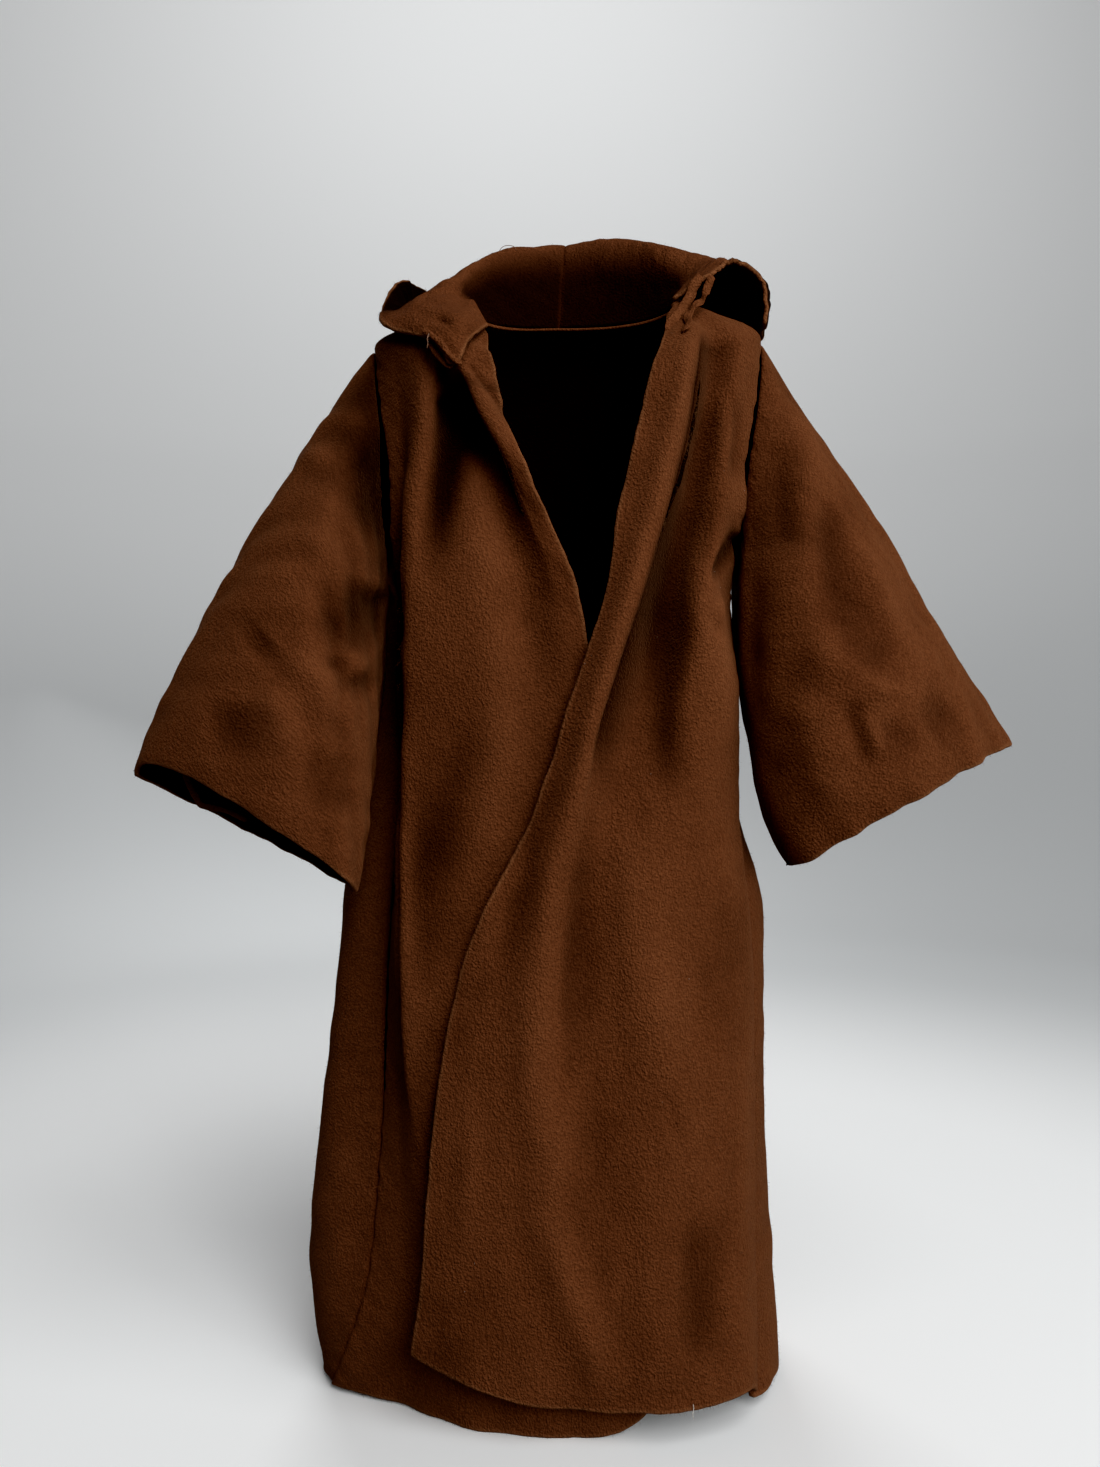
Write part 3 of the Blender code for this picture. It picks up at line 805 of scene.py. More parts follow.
MATERIALS = {
    "body": Fleece("brown fleece cloth"),
    "sleeve": Fleece("brown fleece sleeve cloth", nap_way=(0.4, 1.0, 1.0), streak_share=0.6, clump_mm=0.66),
    "hood": Fleece("brown fleece hood cloth", streak_share=0.3, sheen=0.02),
    "pile": Fibre("loose pile", rgb(0.060, 0.018, 0.005), rgb(0.19, 0.064, 0.021), 0.1),
    "thread": Fibre("sewing thread", rgb(0.10, 0.05, 0.03), rgb(0.26, 0.14, 0.08)),
    "lint": Fibre("pale lint", rgb(0.45, 0.42, 0.38), rgb(0.75, 0.72, 0.68), 0.1),
}


# ---- Meshes ----


def to_world(points: Array) -> Array:
    """Millimetres above the hem to metres from the origin."""
    return (points - np.array([0.0, 0.0, NECK_HEIGHT])) * MM


def make_object(name: str, points: Array, faces: Array, material: Material) -> Piece:
    """Makes a mesh object with its place in its mesh.

    Args:
        name: the piece's name.
        points: its points, in millimetres.
        faces: the points of each face, all of one count.
        material: its material.

    Returns:
        The object, linked to the scene.
    """
    mesh = bpy.data.meshes.new(name)
    count, corners = faces.shape
    mesh.vertices.add(len(points))
    mesh.vertices.foreach_set("co", to_world(points).astype(np.float32).ravel())
    mesh.loops.add(count * corners)
    mesh.loops.foreach_set("vertex_index", faces.astype(np.int32).ravel())
    mesh.polygons.add(count)
    mesh.polygons.foreach_set("loop_start", np.arange(0, count * corners, corners, dtype=np.int32))
    mesh.update(calc_edges=True)
    mesh.shade_smooth()
    mesh.materials.append(material)
    piece = bpy.data.objects.new(name, mesh)
    bpy.context.scene.collection.objects.link(piece)
    return piece


def add_values(mesh: Mesh, name: str, values: Array) -> None:
    """Writes one number a point as an attribute."""
    mesh.attributes.new(name, "FLOAT", "POINT").data.foreach_set("value", values.astype(np.float32))


def add_nap(mesh: Mesh, places: Array) -> None:
    """Writes the nap map from the place of each face corner on its cloth, in millimetres."""
    corners = (places / NAP_SCALE).astype(np.float32).ravel()
    mesh.uv_layers.new(name="nap").data.foreach_set("uv", corners)


def signed_volume(points: Array, faces: Array) -> float:
    """Six times the volume that the faces close in: above 0 where they point outwards."""
    a, b, c, d = (points[faces[:, k]] for k in range(4))
    return float((a * np.cross(b, c)).sum() + (a * np.cross(c, d)).sum())


@dataclass
class ClothWall:
    """A wall of cloth from a grid of points: two skins, and a rounded rim along each open border.

    raw is the share of cut edge at the grid's points and seam the painted shade of the seams' grooves, and
    hollow holds the painted shade of the outer and the inner skin. Where hollow is None, the inner skin is in
    full painted shade and the outer one has a painted shade from fold, its push in millimetres: -push /
    FOLD_SHADE, above 0, painted shade, in a valley and below 0, a painted highlight, on a crest.
    """

    name: str
    points: Array
    fleece: Material
    raw: Array
    seam: Array
    closed: bool = False
    thickness: float = CLOTH
    centred: bool = False
    hollow_shade: tuple[Array, Array] | None = None
    fold: Array | None = None
    # The lowest and the highest painted shade from folds: a painted highlight below 0.
    fold_shade_range: Pair = (-0.6, 0.85)
    rim_wander: float = 0.07
    rim_bulge: float = 0.34
    rim_full: float = 1.3
    outer: Array = field(init=False)
    normals: Array = field(init=False)
    loops: list[Array] = field(init=False)

    def build(self) -> Piece:
        """Makes the mesh, its nap map and its attributes.

        Returns:
            The piece.
        """
        points = self.points[:, :-1] if self.closed else self.points
        rows, columns = points.shape[:2]
        count = rows * columns
        normal = facing_out(points, self.closed)
        lift = self.thickness / 2 if self.centred else 0.0
        outer, inner = points + normal * lift, points + normal * (lift - self.thickness)
        self.outer, self.normals = outer, normal
        ids = np.arange(count).reshape(rows, columns)
        self.loops = self._border_loops(ids)
        middle = ((outer + inner) / 2).reshape(-1, 3)
        skins = [outer.reshape(-1, 3), inner.reshape(-1, 3)]
        faces = [self._skin(ids), self._skin(ids + count)[:, ::-1]]
        sources = [np.arange(count), np.arange(count)]
        start = 2 * count
        for number, loop in enumerate(self.loops):
            rim, rim_faces, start = self._rim(loop, middle, normal.reshape(-1, 3), count, start, number)
            skins.append(rim)
            faces.append(rim_faces)
            sources.append(np.tile(loop, len(rim) // len(loop)))
        vertices, quads, source = np.concatenate(skins), np.concatenate(faces), np.concatenate(sources)
        if signed_volume(vertices, quads) < 0:
            quads = quads[:, ::-1]
        piece = make_object(self.name, vertices, quads, self.fleece)
        self._dress(piece.data, source, quads, count)
        return piece

    def _skin(self, ids: Array) -> Array:
        """The faces of one skin: each grid square, and the last column on to the first if closed."""
        across = np.roll(ids, -1, axis=1) if self.closed else ids[:, 1:]
        here = ids if self.closed else ids[:, :-1]
        return np.stack([here[:-1], across[:-1], across[1:], here[1:]], axis=-1).reshape(-1, 4)

    def _border_loops(self, ids: Array) -> list[Array]:
        """The borders, each in the direction in which the outer skin's faces run."""
        if self.closed:
            return [ids[0], ids[-1][::-1]]
        return [np.concatenate([ids[0, :-1], ids[:-1, -1], ids[-1, :0:-1], ids[:0:-1, 0]])]

    def _rim(self, loop: Array, middle: Array, normal: Array, count: int, start: int, number: int) -> tuple:
        """A half-round rim: middle + cos(a) half n + sin(a) full bulge o, o pointing out of the cloth.

        Args:
            loop: the points of the border.
            middle: the middle of the wall at each point.
            normal: the outward normals.
            count: how many points a skin has.
            start: the number of the next new point.
            number: which border it is.

        Returns:
            The new points, the new faces and the next number.
        """
        centre, up = middle[loop], normal[loop]
        out = unit(across_from(-self.inner_side(loop, middle), up))
        run = run_length(np.concatenate([centre, centre[:1]])[:, None], 0)[:-1, 0]
        wander = Ripple(SEED + number + len(loop), 3.4, 7).at(run, 0.0) * self.rim_wander
        bulge = (self.rim_bulge + wander * self.raw_at(loop))[:, None] * out
        half = self.thickness / 2
        rings = [
            centre + up * (half * np.cos(turn)) + bulge * np.sin(turn) * self.rim_full
            for turn in np.radians([45.0, 90.0, 135.0])
        ]
        size = len(loop)
        ladder = [loop] + [start + size * k + np.arange(size) for k in range(3)] + [loop + count]
        faces = [
            np.stack([np.roll(a, -1), a, b, np.roll(b, -1)], axis=-1) for a, b in zip(ladder[:-1], ladder[1:])
        ]
        return np.concatenate(rings), np.concatenate(faces), start + 3 * size

    def inner_side(self, loop: Array, middle: Array) -> Array:
        """For each border point, the direction of its neighbour in the cloth."""
        rows, columns = self.outer.shape[:2]
        row, column = loop // columns, loop % columns
        inner_row = np.clip(row, 1, rows - 2)
        inner_column = column if self.closed else np.clip(column, 1, columns - 2)
        return middle[inner_row * columns + inner_column] - middle[loop]

    def raw_at(self, loop: Array) -> Array:
        """The raw-edge share of each border point."""
        raw = self.raw[:, :-1] if self.closed else self.raw
        return raw.reshape(-1)[loop]

    def _dress(self, mesh: Mesh, source: Array, quads: Array, count: int) -> None:
        """Writes the raw_edge attribute, the painted shade of the seams and of the skins, and the nap map."""
        shape = self.points.shape[:2]
        cut = slice(None, -1) if self.closed else slice(None)
        # Painted shade of the outer skin, given or from its folds; the inner skin is in full painted shade,
        # and the rims take the lesser of the two.
        outer, inner = self.hollow_shade or (np.clip(-self.fold / FOLD_SHADE, *self.fold_shade_range), np.ones(shape))
        rim = np.clip(np.minimum(outer, inner), 0, None)
        skins = [skin[:, cut].reshape(-1) for skin in (outer, inner, rim)]
        rest = source[2 * count :]
        painted_shade = np.concatenate([skins[0], skins[1], skins[2][rest]])
        for name, values in (("raw_edge", self.raw), ("seam", self.seam)):
            add_values(mesh, name, values[:, cut].reshape(-1)[source])
        add_values(mesh, "painted_shade", painted_shade)
        across = run_length(self.points, 1)
        across = across - across[:, [across.shape[1] // 2]]
        nap = np.stack([across, run_length(self.points, 0)], axis=-1)
        corner = source[quads]
        columns = shape[1] - (1 if self.closed else 0)
        row, column = corner // columns, corner % columns
        if self.closed:
            wraps = (column.max(axis=1) - column.min(axis=1)) > columns // 2
            column = np.where(wraps[:, None] & (column == 0), columns, column)
        add_nap(mesh, nap[row, column])


@dataclass
class Pile:
    """Loose hairs that stand out of the fleece: slender three-sided spikes with closed feet."""

    name: str
    fibre: Material
    seed: int
    feet: list[Array] = field(default_factory=list)
    tips: list[Array] = field(default_factory=list)
    sunk: float = 0.1
    short_bias: float = 2.2
    past_edge: float = 0.3

    def scatter(self, wall: ClothWall, per_mm2: float, length: Pair, lean: float = 0.7) -> None:
        """Strews hairs over a wall's outer skin, leaning down the cloth.

        Args:
            wall: the built wall.
            per_mm2: hairs a square millimetre.
            length: the shortest and the longest hair.
            lean: how far a hair leans, as a share of its height.
        """
        draw = np.random.default_rng(self.seed)
        grid, normal = wall.outer, wall.normals
        a, b, c, d = grid[:-1, :-1], grid[:-1, 1:], grid[1:, :-1], grid[1:, 1:]
        area = np.linalg.norm(np.cross(b - a, c - a), axis=-1)
        total = float(area.sum())
        count = int(total * per_mm2)
        share = np.cumsum(area.ravel()) / total
        cell = np.searchsorted(share, draw.uniform(0, 1, count))
        cell = np.clip(cell, 0, area.size - 1)
        row, column = cell // area.shape[1], cell % area.shape[1]
        u, v = draw.uniform(0, 1, (2, count, 1))
        foot = (
            a[row, column] * (1 - u) * (1 - v)
            + b[row, column] * u * (1 - v)
            + c[row, column] * (1 - u) * v
            + d[row, column] * u * v
        )
        up = normal[row, column]
        fall = unit(c[row, column] - a[row, column])
        sway = across_from(draw.normal(0, 1, (count, 3)), up)
        way = unit(up + fall * lean * draw.uniform(0.2, 1.0, (count, 1)) + sway * 0.45)
        size = self.sizes(draw, count, length)
        # No hairs where the outer skin's painted shade is a half or more.
        open_air = np.full(count, True) if wall.hollow_shade is None else wall.hollow_shade[0][row, column] < 0.5
        self.feet.append((foot - up * self.sunk)[open_air])
        self.tips.append((foot + way * size)[open_air])

    def sizes(self, draw: np.random.Generator, count: int, length: Pair) -> Array:
        """Hair lengths, mostly short: shortest + (longest - shortest) r^bias, with r from 0 to 1."""
        return length[0] + (length[1] - length[0]) * draw.uniform(0, 1, (count, 1)) ** self.short_bias

    def fringe(self, wall: ClothWall, per_mm: float, length: Pair, least_raw: float = 0.5) -> None:
        """Strews hairs along a wall's raw borders, pointing out of the cut edge.

        Args:
            wall: the built wall.
            per_mm: hairs a millimetre.
            length: the shortest and the longest hair.
            least_raw: the raw-edge share from which a border counts as cut.
        """
        draw = np.random.default_rng(self.seed + 1)
        flat, up = wall.outer.reshape(-1, 3), wall.normals.reshape(-1, 3)
        for loop in wall.loops:
            closed_loop = np.concatenate([loop, loop[:1]])
            raw = wall.raw_at(closed_loop) > least_raw
            line = flat[closed_loop] - up[closed_loop] * wall.thickness * 0.5
            run = run_length(line[:, None], 0)[:, 0]
            count = int(run[-1] * per_mm)
            spot = draw.uniform(0, run[-1], count)
            k = np.clip(np.searchsorted(run, spot) - 1, 0, len(run) - 2)
            keep = raw[k] & raw[k + 1]
            k, spot = k[keep], spot[keep]
            t = ((spot - run[k]) / np.maximum(run[k + 1] - run[k], TINY))[:, None]
            foot = line[k] * (1 - t) + line[k + 1] * t
            inward = unit(wall.inner_side(closed_loop[k], flat))
            normal = up[closed_loop[k]]
            spread = draw.uniform(-0.5, 0.5, (len(k), 1))
            way = unit(-inward + normal * spread * 1.6 + draw.normal(0, 0.35, (len(k), 3)))
            size = self.sizes(draw, len(k), length)
            foot = foot + normal * spread * wall.thickness * 0.8
            self.feet.append(foot - way * self.sunk)
            self.tips.append(foot + way * (size + self.past_edge))

    def build(self, thick: float = 0.022) -> Piece:
        """Makes the spikes: a foot of three points round the hair, and its tip.

        Args:
            thick: the radius of a hair's foot, in millimetres.

        Returns:
            The piece.
        """
        foot, tip = np.concatenate(self.feet), np.concatenate(self.tips)
        way = unit(tip - foot)
        aside = unit(np.cross(way, [0.31, 0.59, 0.74]))
        other = np.cross(way, aside)
        turns = np.radians([0.0, 120.0, 240.0])
        ring = [foot + thick * (aside * np.cos(a) + other * np.sin(a)) for a in turns]
        points = np.stack(ring + [tip], axis=1).reshape(-1, 3)
        base = 4 * np.arange(len(foot))[:, None, None]
        corners = np.array([[0, 1, 3], [1, 2, 3], [2, 0, 3], [0, 2, 1]])
        return make_object(self.name, points, (base + corners).reshape(-1, 3), self.fibre)


@dataclass(frozen=True)
class Strip:
    """A narrow strip of cut cloth or a thread: a flattened tube that wavers along its path.

    The path is the x, y and height of its points in turn.
    """

    name: str
    path: tuple[float, ...]
    width: float
    thick: float
    facing: Triple = (0.0, -1.0, 0.3)
    twist: float = 0.0
    waver: float = 0.25
    seed: int = 1
    sides: int = 16
    step: float = 0.12
    raw: float = 0.35

    def build(self, material: Material) -> Piece:
        """Carries an oval along the path: c + cos(a) w W + sin(a) t N, W and N turning with the twist.

        Args:
            material: its material.

        Returns:
            The piece.
        """
        path = np.array(self.path, float).reshape(-1, 3)
        length = run_length(path[:, None], 0)[-1, 0]
        count = max(int(length / self.step), 8)
        share = np.linspace(0, 1, count)
        centre = loose_curve_through(path, share)
        run = share * length
        along = unit(np.gradient(centre, axis=0))
        across = unit(np.cross(along, np.array(self.facing)))
        up = np.cross(across, along)
        turn = np.radians(self.twist) * share + self.ripple(0, 4.0, run) * self.waver * 1.6
        wide = across * np.cos(turn)[:, None] + up * np.sin(turn)[:, None]
        tall = up * np.cos(turn)[:, None] - across * np.sin(turn)[:, None]
        centre = centre + across * (self.ripple(1, 4.2, run) * self.waver)[:, None]
        centre = centre + up * (self.ripple(2, 3.6, run) * self.waver * 0.7)[:, None]
        taper = np.sqrt(np.clip(np.minimum(run, length - run) / (self.width * 0.6) + 0.12, 0, 1))
        size = taper * (1 + 0.5 * self.waver * self.ripple(3, 2.4, run))
        angle = np.linspace(0, 2 * np.pi, self.sides, endpoint=False)
        ring_wide = (np.cos(angle) * self.width / 2)[None, :, None]
        ring_tall = (np.sin(angle) * self.thick / 2)[None, :, None]
        oval = wide[:, None] * ring_wide + tall[:, None] * ring_tall
        points = centre[:, None] + size[:, None, None] * oval
        ids = np.arange(count * self.sides).reshape(count, self.sides)
        around = np.roll(ids, -1, axis=1)
        tube = np.stack([ids[:-1], around[:-1], around[1:], ids[1:]], axis=-1).reshape(-1, 4)
        k = np.arange(self.sides // 2 - 1)
        cap = np.stack([k, k + 1, self.sides - 2 - k, self.sides - 1 - k], axis=-1)
        faces = np.concatenate([tube, cap[:, ::-1], cap + ids[-1, 0]])
        flat = points.reshape(-1, 3)
        if signed_volume(flat, faces) < 0:
            faces = faces[:, ::-1]
        piece = make_object(self.name, flat, faces, material)
        nap = np.stack(np.broadcast_arrays(angle * self.width / 6, run[:, None]), axis=-1)
        add_nap(piece.data, nap.reshape(-1, 2)[faces.ravel()])
        add_values(piece.data, "raw_edge", np.full(len(flat), self.raw))
        return piece

    def ripple(self, number: int, size: float, run: Array) -> Array:
        """One of the strip's ripples, by its number and size, along the run."""
        return Ripple(self.seed + number, size, 6).at(run, 0.0)


def grid(down: Array, across: Array) -> tuple[Array, Array]:
    """Two lists of places as the arrays of a grid."""
    return np.broadcast_arrays(np.asarray(down)[:, None], np.asarray(across)[None, :])


def dense_ends(count: int, start: float, end: float) -> Array:
    """Places from 0 to 1, closer together near an end whose share is above 0.

    Each span is as long as 1 - start exp(-t / r) - end exp(-(1 - t) / r) beside the others, r being the
    reach.

    Args:
        count: how many spans.
        start: how much closer at 0, from 0 to 0.9.
        end: how much closer at 1, from 0 to 0.9.

    Returns:
        The places.
    """
    reach = 0.05
    t = np.linspace(0, 1, count + 1)
    weight = 1 - start * np.exp(-t / reach) - end * np.exp(-(1 - t) / reach)
    place = np.concatenate([[0.0], np.cumsum((weight[1:] + weight[:-1]) / 2)])
    return place / place[-1]


# ---- The robe's panels ----


@dataclass(frozen=True)
class Seam:
    """How cloth turns down into a seam: a quarter-round shoulder, and puckers beside it."""

    depth: float = 0.5
    width: float = 1.1
    pucker: float = 0.16
    pucker_reach: float = 5.0
    pucker_size: float = 3.6

    def push(self, away: Array, run: Array, seed: int) -> Array:
        """-(depth) (1 - sqrt(1 - (1 - s/w)^2)) near the seam, plus puckers that die away from it.

        Args:
            away: the distance from the seam.
            run: the distance along it.
            seed: the seed of its puckers.

        Returns:
            The push, in millimetres.
        """
        near = np.clip(1 - away / self.width, 0, 1)
        groove = -self.depth * (1 - np.sqrt(1 - near**2))
        wave = Ripple(seed, self.pucker_size, 7).at(run, away * 0.4)
        return groove + self.pucker * wave * np.exp(-away / self.pucker_reach)

    def mark(self, away: Array) -> Array:
        """The painted shade in the seam's groove: 1 in the groove, 0 past its shoulder."""
        return 1 - smooth_step(0.1, self.width * 0.8, away)


SEAM = Seam()


@dataclass
class Panel:
    """A flat-cut piece of the body, from the neck down to the hem."""

    yoke_spans: int = 18
    armhole_spans: int = 66
    skirt_spans: int = 190
    yoke: float = 0.1
    chest: float = 16 / 30
    broad: Wave = Wave(21.0, 0.30, 2.4)
    fine: Wave = Wave(7.0, 0.10, 1.6)
    hem_wave: Wave = Wave(11.0, 0.28, waves=7)
    hem_reach: float = 4.0
    calm_at_seam: float = 8.0
    calm_at_neck: float = 12.0

    def downs(self) -> Array:
        """Places down the panel, with the spans of the yoke, the armhole and the skirt."""
        parts = (
            np.linspace(0, self.yoke, self.yoke_spans + 1),
            np.linspace(self.yoke, self.chest, self.armhole_spans + 1)[1:],
            self.chest + (1 - self.chest) * dense_ends(self.skirt_spans, 0, 0.7)[1:],
        )
        return np.concatenate(parts)

    def level(self, down: Array, bottom: Array) -> Array:
        """The level at each place down: neck to shoulder tip, to armpit, then on to the hem.

        Args:
            down: places from 0 at the neck to 1 at the hem.
            bottom: the hem's height there.

        Returns:
            The levels.
        """
        stations, levels = (0, self.yoke, self.chest), (GIRTH.neck, GIRTH.tip, GIRTH.armpit)
        upper = np.interp(down, stations, levels)
        return upper + (bottom - GIRTH.armpit) * np.clip((down - self.chest) / (1 - self.chest), 0, 1)

    def soft(self, plain: Array, from_seam: Array, down_run: Array, seeds: tuple[int, int]) -> Array:
        """The broad and the fine unevenness of the cloth, which dies away at a seam and at the neckline.

        Args:
            plain: the panel's plain form.
            from_seam: the distance from the nearest seam.
            down_run: the distance from the neckline.
            seeds: the seeds of the broad and the fine one.

        Returns:
            How far each point moves outwards, in millimetres.
        """
        x, height = plain[..., 0], plain[..., 2]
        fade = smooth_step(0.0, self.calm_at_seam, from_seam) * smooth_step(0.0, self.calm_at_neck, down_run)
        return (self.broad.at(seeds[0], x, height) + self.fine.at(seeds[1], x, height)) * fade


@dataclass
class Front(Panel):
    """A front of the robe, from its open edge round to its side seam."""

    side: Side = Side.RIGHT
    lines: dict[str, Line] = field(default_factory=dict)
    hem: Line = ()
    creases: tuple[Crease, ...] = ()
    seed: int = 40
    across_spans: int = 92
    levels: tuple[float, ...] = (0, 30, 60, 90, 125, 150, 170, 186, 200, 213, 227, 250)
    lap_chest: float = 1.8
    lap_waist: float = 3.3
    lap_levels: Pair = (160.0, 205.0)
    lap_angles: Pair = (38.0, 72.0)
    edge_wave: Wave = Wave(9.0, 0.22, waves=7)
    edge_reach: float = 3.0
    sewn_at_neck: Pair = (0.5, 3.0)

    def surface(self) -> Array:
        """The front's plain form: its lines' x and push, mixed across, on the body's girth.

        Returns:
            The grid of points.
        """
        down, across = grid(self.downs(), dense_ends(self.across_spans, 0.6, 0.85))
        edge_x, side_x = self.lines["edge"][0][0], GIRTH.seam_line(self.side)[0][0]
        hem_x, hem_height = np.array(self.hem, float).T
        bottom = curve_through(hem_x, hem_height, edge_x + across * (side_x - edge_x))
        level = self.level(down, bottom)
        angles = [GIRTH.angle_at(curve_through(self.levels, x, level), level) for x, _ in self.lines.values()]
        pushes = [curve_through(self.levels, push, level) for _, push in self.lines.values()]
        angles.append(GIRTH.seam_angle(self.side, level) - self.side.value * GIRTH.gap_angle(level))
        pushes.append(GIRTH.seam_push(self.side, level))
        angle = mix_lines(angles, across * len(self.lines))
        push = mix_lines(pushes, across * len(self.lines))
        if self.side is Side.LEFT:
            push = push + self.lap_lift(angle, level)
        return GIRTH.point(angle, level, push)

    def lap_lift(self, angle: Array, level: Array) -> Array:
        """How far the lapped front stands off the girth, from the chest to the waist."""
        lift = self.lap_waist + (self.lap_chest - self.lap_waist) * smooth_step(*self.lap_levels, level)
        below_neck = 1 - smooth_step(GIRTH.tip, GIRTH.neck, level)
        return lift * (1 - smooth_step(*self.lap_angles, angle)) * below_neck

    def build(self, name: str, fleece: Material) -> ClothWall:
        """Adds creases, the seam and the wandering raw edges to the plain form.

        Args:
            name: the piece's name.
            fleece: its material.

        Returns:
            The wall, not yet made a mesh.
        """
        plain = self.surface()
        normal = normals_of(plain, False)
        normal = normal * np.sign(-normal[..., 1].sum())
        from_edge, down_run = run_length(plain, 1), run_length(plain, 0)
        from_seam = from_edge[:, -1:] - from_edge
        from_hem = down_run[-1:] - down_run
        seed = self.seed + self.side.value
        # The fold's push moves the cloth and also gives the painted shade in its valleys and the painted
        # highlight on its crests.
        fold = relief_of(self.creases, plain) + self.soft(plain, from_seam, down_run, (seed, seed + 5))
        push = fold + SEAM.push(from_seam, down_run, seed + 2)
        edge_wave = self.edge_wave.at(seed + 3, down_run, 0.0) * np.exp(-from_edge / self.edge_reach)
        hem_wave = self.hem_wave.at(seed + 4, from_edge, 0.0) * np.exp(-from_hem / self.hem_reach)
        points = plain + normal * (push + edge_wave + hem_wave)[..., None]
        raw = np.exp(-np.minimum(from_edge, from_hem) / RAW_REACH)
        raw = raw * smooth_step(*self.sewn_at_neck, down_run)
        return ClothWall(name, points, fleece, raw=raw, seam=SEAM.mark(from_seam), fold=fold)


RIGHT_LINES = {
    "edge": (
        (19, 17, 15, 13, 9.5, 6.5, 2.9, -3.2, -8.5, -12, -14, -15.5),
        (0, 0, 0, 0, 0, 0, 0.4, 1, 1, 0.6, 0.2, 0),
    ),
    "lapel crest": (
        (11, 9, 7, 5, 3, 1.5, -1.2, -7, -13, -17.6, -20.4, -17),
        (0, 0, 0, 0, 0, 0, 0.6, 2.2, 3.4, 3.8, 2.6, 0.1),
    ),
    "lapel trough": (
        (0, -2, -4, -5, -6, -7, -9, -13.5, -18, -22.4, -25, -18.4),
        (0, 0, 0, -0.2, -0.4, -0.6, -1.4, -3, -3.8, -4, -2.6, -0.1),
    ),
    "side crest": (
        (-20, -23, -28.8, -32.2, -33, -33, -32.6, -31.8, -29.8, -28.8, -30, -19.3),
        (-2.6, -1, 0.6, 1.6, 2.2, 2.6, 2.8, 2.6, 2.2, 1.8, 1.2, 0),
    ),
    "flank": (
        (-36, -34, -35.5, -38, -37, -35.4, -34.8, -34.2, -34.4, -35, -36.4, -19.8),
        (-5.8, -4.4, -3.4, -3.8, -4, -3.4, -2.2, -1, -0.6, -0.4, 0, 0),
    ),
}
LEFT_LINES = {
    "edge": (
        (-32, -27.3, -25, -20.2, -5.1, 3, 9.2, 11.6, 14.6, 17, 19.2, 22.5),
        (0, 0, 0, 0, 0.2, 0.4, 0.6, 0.8, 0.8, 0.6, 0.4, 0),
    ),
    "lapel crest": (
        (4, 0.8, -3.6, -4.6, 2.2, 10, 16.4, 21.2, 24.6, 26.8, 28, 24),
        (0.3, 0.6, 1, 1.4, 2.2, 3.2, 3.8, 3.8, 3.6, 3.2, 2.4, 0.3),
    ),
    "lapel trough": (
        (13, 10, 7.5, 6.5, 11, 18, 23.6, 27.2, 30, 32.2, 33.4, 25),
        (1.2, 0.6, -0.2, -0.8, -1.8, -3.6, -4.4, -4.4, -4, -3.2, -2.2, -0.2),
    ),
    "chest fold": (
        (24, 23, 22, 21, 22, 25.5, 29, 32.2, 34.8, 36.6, 38, 25.6),
        (2.2, 1.8, 1.4, 0.8, 0.6, 0.8, 1.4, 1.6, 1, 0.4, 0, 0),
    ),
    "flank": (
        (33, 33, 34, 36.5, 36.8, 36.6, 34.6, 36.2, 38, 39.8, 40.8, 25.9),
        (2.4, 1.8, 1, 0.6, 0.6, 0, -1.4, 0.8, 0.6, 0.2, 0, 0),
    ),
}
RIGHT_HEM = ((-50.5, 1.0), (-33.0, 0.3), (-5.0, 0.0), (5.0, 0.7), (12.0, 2.9), (19.0, 6.6))
LEFT_HEM = ((-32, 16.2), (-27, 12.2), (-22.5, 9.2), (-19, 7.8), (-10, 7.3), (15, 7.4), (31, 8), (39.5, 5))

# Creases of the right front: the valley beside the shoulder ridge, the border and the groove of the
# turned strip along the opening, and soft folds down to the waist.
RIGHT_CREASES = creases(
    ((-3, 3.6, 1, 0.1, 0.6), (-22, 216, -22.5, 211.1, -23.3, 199.6, -25.3, 184.7, -26.9, 165)),
    ((1.1, 2.8, 1, 0.1, 0.5), (-26.6, 221, -27.3, 210.2, -28.5, 201.5, -31.3, 184.8, -33.2, 164)),
    ((-2.3, 1.1, 3.4, 0.05, 0.5), (-22.6, 213.4, -18.6, 206, -14.4, 199.8, -10.8, 194.4, -7.6, 188.8,
     -5.4, 184)),
    ((0.8, 1.6, 1, 0.05, 0.5), (-20.2, 214.8, -15.7, 208.2, -11.6, 202, -8.4, 196.6, -5.6, 191, -3.4, 186)),
    ((-0.7, 0.9, 0.8, 0.1, 0.5), (-19.6, 216.7, -15.1, 211.4, -12.2, 207.6, -10, 204.1, -8, 199.8)),
    ((1.2, 5.2, 0.9), (-17.9, 203.5, -16.5, 178.5, -13.7, 161.4, -13.4, 139.7, -18.4, 111.7, -24.7, 94)),
    ((-1.1, 5, 1.1, 0.4, 0.4), (-23.9, 156, -18.5, 137.2, -24.9, 119.2, -26, 94)),
    ((-1.3, 1.6, 2.2, 0.3, 0.5), (-11.1, 201, -6, 188.1, -2.7, 176)),
    ((0.7, 3, 1.2, 0.4, 0.4), (-33.5, 150, -34, 120, -33, 90, -29, 60)),
    ((-0.7, 3.2, 1, 0.4, 0.4), (-29, 132, -29.6, 110, -27.4, 84)),
    ((-1.6, 0.9, 4, 0.2, 0.3), (-32.6, 192, -34.1, 168, -34.5, 140, -34.2, 110, -33.8, 81, -33, 67.5,
     -30.8, 56, -27.8, 47)),
)

